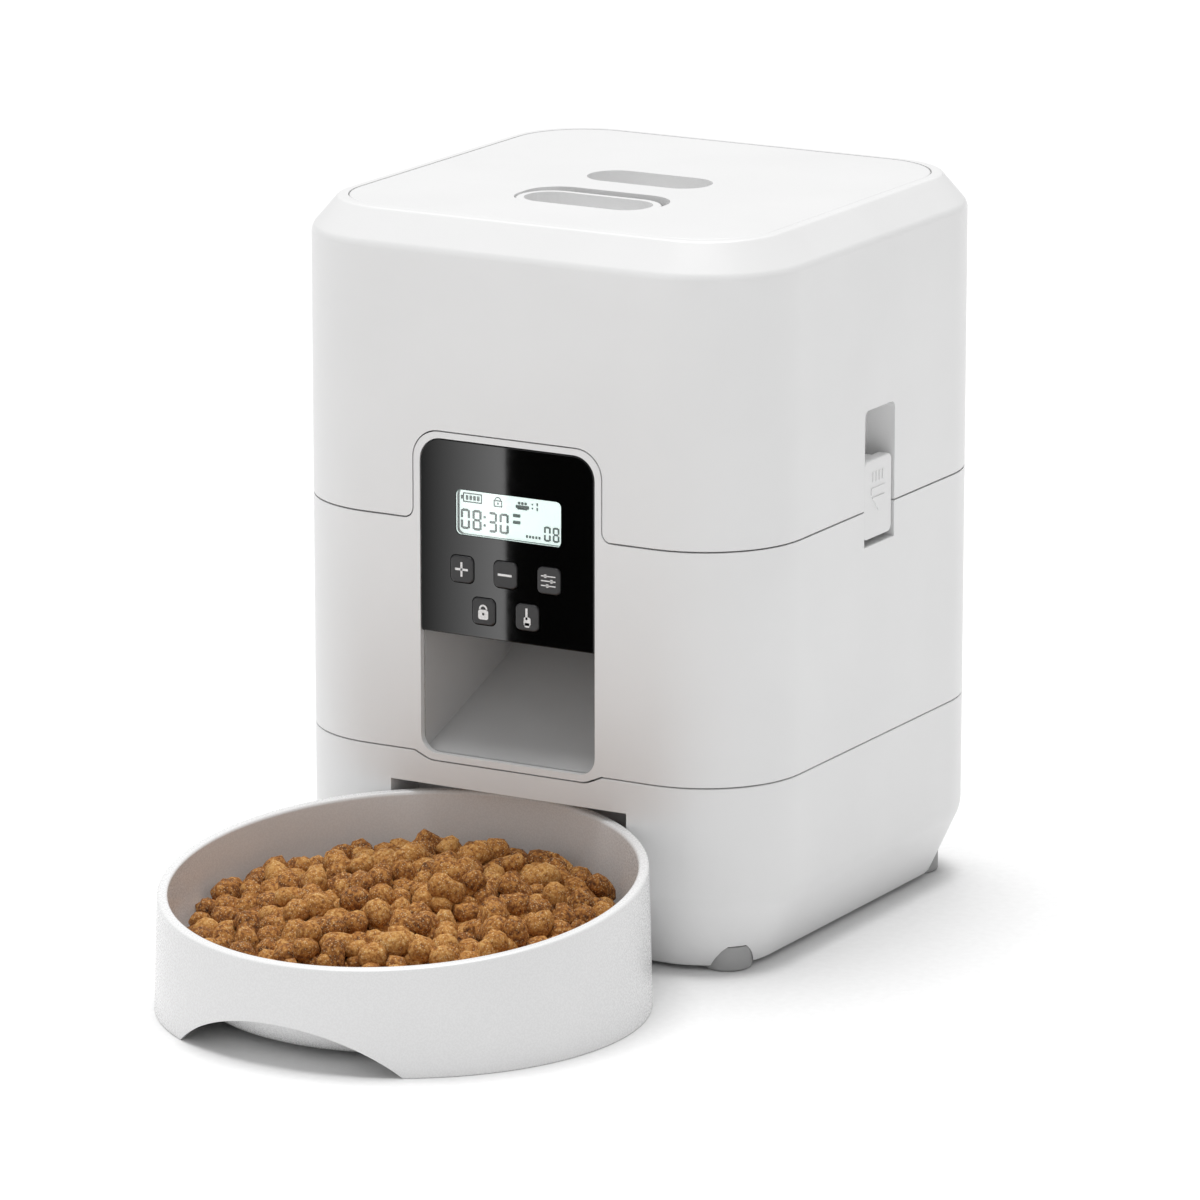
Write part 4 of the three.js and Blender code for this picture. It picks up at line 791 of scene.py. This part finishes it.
def makeDisplay():
    front, depth = -92.55, 0.12
    x, z = display["x"], display["z"]
    parts = [
        bars("clock", digitBars("08:30", x - 20.1, z - 2.7, 7.3), front, depth),
        bars("helping", digitBars("08", x + 13.2, z - 4.3, 5.4, thick=0.36), front, depth),
        bars("meal_count", digitBars(":1", x + 8.4, z + 4.8, 3.4, thick=0.3), front, depth),
    ]
    cell = [(x - 17.6 + i * 1.5, z + 5.0, 0.52, 0.85) for i in range(4)]
    frameBars = [(x - 15.4, z + 6.5, 3.8, 0.22), (x - 15.4, z + 3.5, 3.8, 0.22),
                 (x - 11.8, z + 5.0, 0.22, 1.5), (x - 19.0, z + 5.0, 0.22, 1.5),
                 (x - 19.6, z + 5.0, 0.45, 0.7)]
    # a filled bowl stands for the meal, and two short bars for the halves of the day
    meal = [(x + 4.6, z + 4.1, 2.7, 0.6), (x + 4.6, z + 3.4, 2.0, 0.3)]
    meal += [(x + 3.3 + i * 1.3, z + 5.4, 0.48, 0.48) for i in range(3)]
    halves = [(x + 2.3, z + 0.8, 1.5, 0.6), (x + 2.3, z - 1.6, 1.5, 0.6)]
    helpingMark = [(x + 6.4 + i * 1.25, z - 6.1, 0.4, 0.5) for i in range(5)]
    parts.append(bars("marks", cell + frameBars + meal + halves + helpingMark, front, depth))
    lockX = x - 5.2
    parts.append(shackle("small_bow", lockX, z + 5.3, 1.1, 0.22, front, depth))
    parts.append(bars("small_lock", [(lockX, z + 3.2, 1.7, 0.22), (lockX, z + 5.2, 1.7, 0.22),
                                     (lockX - 1.5, z + 4.2, 0.22, 1.1), (lockX + 1.5, z + 4.2, 0.22, 1.1),
                                     (lockX, z + 4.2, 0.28, 0.4)], front, depth))
    finishPiece(joined("display_segments", parts), "base", finish["segmentInk"])
    print("display made")


def makeButtons():
    cap = {"front": -95.6, "back": -90.5, "skirtFront": -90.8, "skirtBack": -89.8, "edge": 0.7}
    ink = {"front": -95.66, "depth": 0.1}
    for name, (x, z) in buttonPlaces.items():
        button = faceBlock("key_" + name, x, z, buttons["halfX"], buttons["halfZ"], cap["front"], cap["back"],
                           buttons["radius"], 8)
        roundEdges(button, cap["edge"], 4, lambda a, b: near(a.y, cap["front"]) and near(b.y, cap["front"]))
        skirt = faceBlock("skirt", x, z, buttons["halfX"] + 1, buttons["halfZ"] + 1, cap["skirtFront"],
                          cap["skirtBack"], buttons["radius"] + 1)
        combine(button, skirt, "UNION")
        smooth(button)
        rideOn = "button_" + name
        finishPiece(button, rideOn, finish["button"], [rideOn])
        if name == "plus":
            mark = bars("mark", [(x, z, 2.6, 0.4), (x, z, 0.4, 2.6)], ink["front"], ink["depth"])
        elif name == "minus":
            mark = bars("mark", [(x, z, 2.8, 0.4)], ink["front"], ink["depth"])
        elif name == "set":  # three sliders stand for settings
            rails = [(x, z + drop, 2.9, 0.2) for drop in (-1.7, 0, 1.7)]
            places = ((-1.2, 1.7), (1.3, 0), (-0.4, -1.7))
            knobs = [(x + place, z + drop, 0.5, 0.62) for place, drop in places]
            mark = bars("mark", rails + knobs, ink["front"], ink["depth"])
        elif name == "lock":
            case = bars("mark", [(x, z - 1.0, 2.0, 1.75)], ink["front"], ink["depth"])
            combine(case, barrel("keyhole", 0.5, x, z - 0.8, -97, -95, 16))
            mark = joined("mark", [case, shackle("bow", x, z + 0.9, 1.35, 0.33, ink["front"], ink["depth"])])
        else:  # a hand with one finger up
            mark = bars("mark", [(x, z + 1.3, 0.42, 2.1), (x + 0.25, z - 1.3, 1.35, 1.5),
                                 (x + 0.2, z - 2.6, 0.95, 0.8)], ink["front"], ink["depth"])
        mark.name = "print_" + name
        finishPiece(mark, rideOn, finish["whiteInk"])
    print("buttons made")


bowl = {"y": -165.6, "radius": 85.35, "rimRadius": 84, "rimInner": 80.3, "height": 45.5, "slope": 0.11,
        "wall": 2.2, "floorRadius": 60, "floor": 4.4, "wallStart": 33.5, "rimRound": 1.1, "turns": 128,
        "archHalf": 44, "archHeight": 17.6}


def arcPoints(centreR, centreZ, radius, start, end, steps):
    return [(centreR + radius * math.cos(math.radians(start + (end - start) * i / steps)),
             centreZ + radius * math.sin(math.radians(start + (end - start) * i / steps)))
            for i in range(steps + 1)]


def basinCurve(offset, steps=9):
    # the basin's side, from its flat floor up to the straight wall
    a = Vector((bowl["floorRadius"] + offset, bowl["floor"] - offset))
    b = Vector((bowl["rimInner"] - 4 + offset, bowl["floor"] - offset + 1.5))
    c = Vector((bowl["rimInner"] + offset, bowl["wallStart"]))
    points = []
    for i in range(steps + 1):
        t = i / steps
        points.append(tuple(a * (1 - t) ** 2 + b * 2 * t * (1 - t) + c * t * t))
    return points


def spun(name, profile, turns):
    # a profile of (radius, height) spun round the bowl's axis
    mesh = bpy.data.meshes.new(name)
    corners = [at(r, bowl["y"], z) for r, z in profile]
    mesh.from_pydata(corners, [(i, i + 1) for i in range(len(corners) - 1)], [])
    piece = bpy.data.objects.new(name, mesh)
    bpy.context.collection.objects.link(piece)
    selectOnly(piece)
    bpy.ops.object.mode_set(mode="EDIT")
    bpy.ops.mesh.select_all(action="SELECT")
    bpy.ops.mesh.spin(steps=turns, angle=math.tau, center=at(0, bowl["y"], 0), axis=(0, 0, 1))
    bpy.ops.mesh.select_all(action="SELECT")
    bpy.ops.mesh.remove_doubles(threshold=0.002 * mm)
    bpy.ops.mesh.normals_make_consistent(inside=False)
    bpy.ops.object.mode_set(mode="OBJECT")
    return piece


def makeBowl():
    wall, high, shrink = bowl["wall"], bowl["height"], (bowl["radius"] - bowl["rimRadius"]) / bowl["height"]
    inner, outer = bowl["rimInner"], bowl["rimRadius"]
    soft = bowl["rimRound"]
    profile = [(0, bowl["floor"])] + basinCurve(0)
    profile += arcPoints(inner + soft, high - soft, soft, 180, 90, 5)
    profile += arcPoints(outer - soft, high - soft, soft, 90, 0, 5)
    profile += [(bowl["radius"] - shrink * 0.4, 0.4), (bowl["radius"] - 0.4, 0), (bowl["radius"] - wall, 0)]
    meet = basinCurve(wall)
    side = [p for p in meet if p[0] < bowl["radius"] - wall - shrink * p[1] - 0.3]
    profile += list(reversed(side)) + [(0, bowl["floor"] - wall)]
    piece = spun("food_bowl", profile, bowl["turns"])
    core = [(0, bowl["floor"] - wall)] + meet + [(inner + wall, 80), (0, 80)]
    basin = spun("basin_core", core, bowl["turns"])
    archRadius = (bowl["archHalf"] ** 2 + bowl["archHeight"] ** 2) / (2 * bowl["archHeight"])
    arch = barrel("arch", archRadius, 0, bowl["archHeight"] - archRadius,
                  bowl["y"] - bowl["radius"] - 5, bowl["y"] - 55, 160)
    combine(arch, basin)
    combine(piece, arch)
    # the rim climbs toward the feeder: the wall is drawn up with its height
    for vertex in piece.data.vertices:
        place = toMm(vertex.co)
        share = min(1, max(0, place.z / high)) ** 1.5
        vertex.co.z += bowl["slope"] * (place.y - bowl["y"]) * share * mm
    smooth(piece, 30)
    finishPiece(piece, "bowl", finish["bowlAbs"], ["bowl"])
    print("bowl made")


kibble = {"reach": 74.5, "spacing": 8.7, "edgeHeight": 27.0, "crown": 13.5, "small": 4.1, "large": 5.8,
          "second": 0.3, "shapes": 9, "backLean": 0.1}


def heapHeight(x, y):
    # highest just behind the middle, lying against the wall all round
    out = min(1, math.hypot(x, y - 14) / (kibble["reach"] + 14))
    lump = noise.noise(Vector((x, y, 0)) * 0.045) * 3.2
    return kibble["edgeHeight"] + kibble["crown"] * (1 - out ** 1.6) + kibble["backLean"] * y * 0.5 + lump


def nuggetShape(index):
    # one, two or three lobes pressed out of a small ball
    bpy.ops.object.select_all(action="DESELECT")
    bpy.ops.mesh.primitive_ico_sphere_add(subdivisions=2, radius=1, location=(0, 0, 0))
    nugget = bpy.context.object
    nugget.name = "nugget"
    lobes = index % 3 + 1
    for vertex in nugget.data.vertices:
        place = vertex.co.copy()
        around = math.atan2(place.y, place.x)
        if lobes == 2:
            place.x *= 1.38
            waist = 1 - 0.24 * math.exp(-(place.x / 0.42) ** 2)
            place.y *= waist
            place.z *= waist
        elif lobes == 3:
            place *= 1 + 0.2 * math.cos(3 * around) * (1 - place.z ** 2)
            place.z *= 0.86
        push = noise.noise(vertex.co * 1.6 + Vector((index * 7.3, 0, 0)))
        vertex.co = place * (1 + 0.16 * push)
    return nugget


def makeKibble():
    shapes = [nuggetShape(i) for i in range(kibble["shapes"])]
    corners, faces, tones = [], [], []

    def drop(x, y, z, size):
        shape = random.choice(shapes).data
        turn = Euler([random.uniform(0, math.tau) for _ in range(3)]).to_matrix()
        first = len(corners)
        tone = random.random()
        corners.extend(at(x, bowl["y"] + y, z) + turn @ v.co * size * mm for v in shape.vertices)
        faces.extend([first + i for i in face.vertices] for face in shape.polygons)
        tones.extend([tone] * len(shape.vertices))

    step = kibble["spacing"]
    rows = int(kibble["reach"] / step) + 2
    for layer in range(3):
        for row in range(-rows, rows + 1):
            for column in range(-rows, rows + 1):
                x = (column + 0.5 * (row % 2)) * step + random.uniform(-1.8, 1.8)
                y = row * step * 0.87 + random.uniform(-1.8, 1.8)
                size = random.uniform(kibble["small"], kibble["large"])
                if math.hypot(x, y) + size > kibble["reach"] + 4:
                    continue
                if layer == 2 and (random.random() > kibble["second"] or math.hypot(x, y) > 58):
                    continue
                z = heapHeight(x, y) + (layer - 1) * 4.6 - 3.0 + random.uniform(-0.8, 0.8)
                drop(x, y, z, size)
    mesh = bpy.data.meshes.new("kibble_heap")
    mesh.from_pydata(corners, [], faces)
    mesh.attributes.new("nuggetTone", "FLOAT", "POINT").data.foreach_set("value", tones)
    heap = bpy.data.objects.new("kibble_heap", mesh)
    bpy.context.collection.objects.link(heap)
    for shape in shapes:
        bpy.data.meshes.remove(shape.data)
    smooth(heap, 70, weighted=False)
    finishPiece(heap, "bowl", finish["kibble"])
    print("kibble poured:", len(faces), "faces")


slotFinish = {
    "white_abs": "whiteAbs", "bowl_abs": "bowlAbs", "inner_abs": "innerAbsPaintedShade", "foot_plastic": "rubber",
    "panel_black": "panel", "lcd_clear": "clear", "lcd_display": "display", "button_charcoal": "button",
    "black_nylon": "nylon", "board": "board", "silicone": "silicone", "vane_rubber": "vane",
    "gear_acetal": "acetal", "steel": "steel", "cell_jacket": "jacket",
}


def dressFrame():
    for entry in frame["record"]["subparts"]:
        node = nodes[entry["node"]]
        node.data.materials.clear()
        node.data.materials.append(finish[slotFinish[entry["material_slot"]]])
    print("frame nodes dressed")


def areaLight(name, place, target, size, power, colour="#FFFFFF"):
    lamp = bpy.data.lights.new(name, "AREA")
    lamp.shape = "RECTANGLE"
    lamp.size, lamp.size_y = size
    lamp.energy = power
    lamp.color = linear(colour)[:3]
    holder = bpy.data.objects.new(name, lamp)
    holder.location = place
    holder.rotation_euler = (Vector(target) - Vector(place)).to_track_quat("-Z", "Y").to_euler()
    bpy.context.collection.objects.link(holder)
    return holder


def reflectionCard():
    # a card beside the camera that only glossy surfaces see: graded on one half, dark on the other
    card = {"y": -425, "left": -238, "split": -193.8, "right": -148, "low": 6, "high": 108,
            "dim": 0.02, "bright": 3.5}
    piece = block("reflection_card", (card["left"], card["y"], card["low"]),
                  (card["right"], card["y"] + 1, card["high"]))
    material, tree = newMaterial("studioCardGraded")
    place = addNode(tree, "ShaderNodeTexCoord").outputs["Object"]
    across = addNode(tree, "ShaderNodeSeparateXYZ", links={"Vector": place}).outputs["X"]
    share = addNode(tree, "ShaderNodeMapRange", {
        "From Min": card["left"] * mm, "From Max": card["split"] * mm,
        "To Min": card["dim"], "To Max": card["bright"],
    }, {"Value": across})
    lit = addNode(tree, "ShaderNodeMath", {"operation": "LESS_THAN", 1: card["split"] * mm}, {0: across})
    power = addNode(tree, "ShaderNodeMath", {"operation": "MULTIPLY"}, {
        0: share.outputs["Result"], 1: lit.outputs[0],
    })
    shader = addNode(tree, "ShaderNodeEmission", links={"Strength": power.outputs[0]})
    closeMaterial(tree, shader)
    piece.data.materials.append(material)
    piece.visible_camera = piece.visible_diffuse = piece.visible_shadow = False
    piece.visible_transmission = False


def makeStudio():
    studio = {"floorSize": 30, "sky": 0.48, "overhead": 2.65, "overheadSpread": 40,
              "overheadLean": (0.09, -0.08, -1), "aimHeight": 0.12}
    bpy.ops.object.select_all(action="DESELECT")
    bpy.ops.mesh.primitive_plane_add(size=studio["floorSize"], location=(0, 0, 0))
    floor = bpy.context.object
    floor.name = "floor"
    material, tree = newMaterial("paperSweepWhite")
    place = addNode(tree, "ShaderNodeTexCoord").outputs["Object"]
    fibre = addNode(tree, "ShaderNodeTexNoise", {"Scale": 1 / (3 * mm), "Detail": 2.0}, {"Vector": place})
    tone = colourBand(tree, fibre.outputs["Fac"], [(0.3, "#EDEDED"), (0.7, "#F1F1F1")])
    shader = addNode(tree, "ShaderNodeBsdfPrincipled", {"Roughness": 0.85}, {"Base Color": tone})
    closeMaterial(tree, shader)
    floor.data.materials.append(material)
    world = bpy.data.worlds.new("softRoom")
    world.use_nodes = True
    world.node_tree.nodes["Background"].inputs["Color"].default_value = (1, 1, 1, 1)
    world.node_tree.nodes["Background"].inputs["Strength"].default_value = studio["sky"]
    bpy.context.scene.world = world
    middle = (0, centre.y, studio["aimHeight"])
    overhead = bpy.data.lights.new("overhead_silk", "SUN")  # one wide silk over the whole table
    overhead.energy = studio["overhead"]
    overhead.angle = math.radians(studio["overheadSpread"])
    holder = bpy.data.objects.new("overhead_silk", overhead)
    holder.rotation_euler = Vector(studio["overheadLean"]).to_track_quat("-Z", "Y").to_euler()
    bpy.context.collection.objects.link(holder)
    areaLight("front_softbox", (-1.0, -2.3, 0.75), middle, (1.4, 1.1), 3.4)
    areaLight("corner_strip", (1.75, -1.0, 0.55), middle, (0.22, 1.5), 0.8)
    reflectionCard()
    bpy.context.scene.view_settings.view_transform = "Standard"
    bpy.context.scene.view_settings.look = "None"
    print("studio set")


def makeCamera():
    shot = {"azimuth": 29.711, "elevation": 13.985, "lens": 229.6, "place": (1.3027, -2.2351, 0.76779)}
    camera = bpy.data.cameras.new("camera")
    camera.lens = shot["lens"]
    camera.sensor_width = 36
    camera.clip_end = 60
    holder = bpy.data.objects.new("camera", camera)
    holder.location = shot["place"]
    turn, lift = math.radians(shot["azimuth"]), math.radians(shot["elevation"])
    backward = Vector((math.sin(turn) * math.cos(lift), -math.cos(turn) * math.cos(lift), math.sin(lift)))
    holder.rotation_euler = (-backward).to_track_quat("-Z", "Y").to_euler()
    bpy.context.collection.objects.link(holder)
    bpy.context.scene.camera = holder


makeCamera()
dressFrame()
makeBase()
makeHousing()
makeHopper()
makeLid()
makeLidLatch()
makeSideLatches()
makePanel()
makeDisplay()
makeButtons()
makeBowl()
makeKibble()
makeStudio()
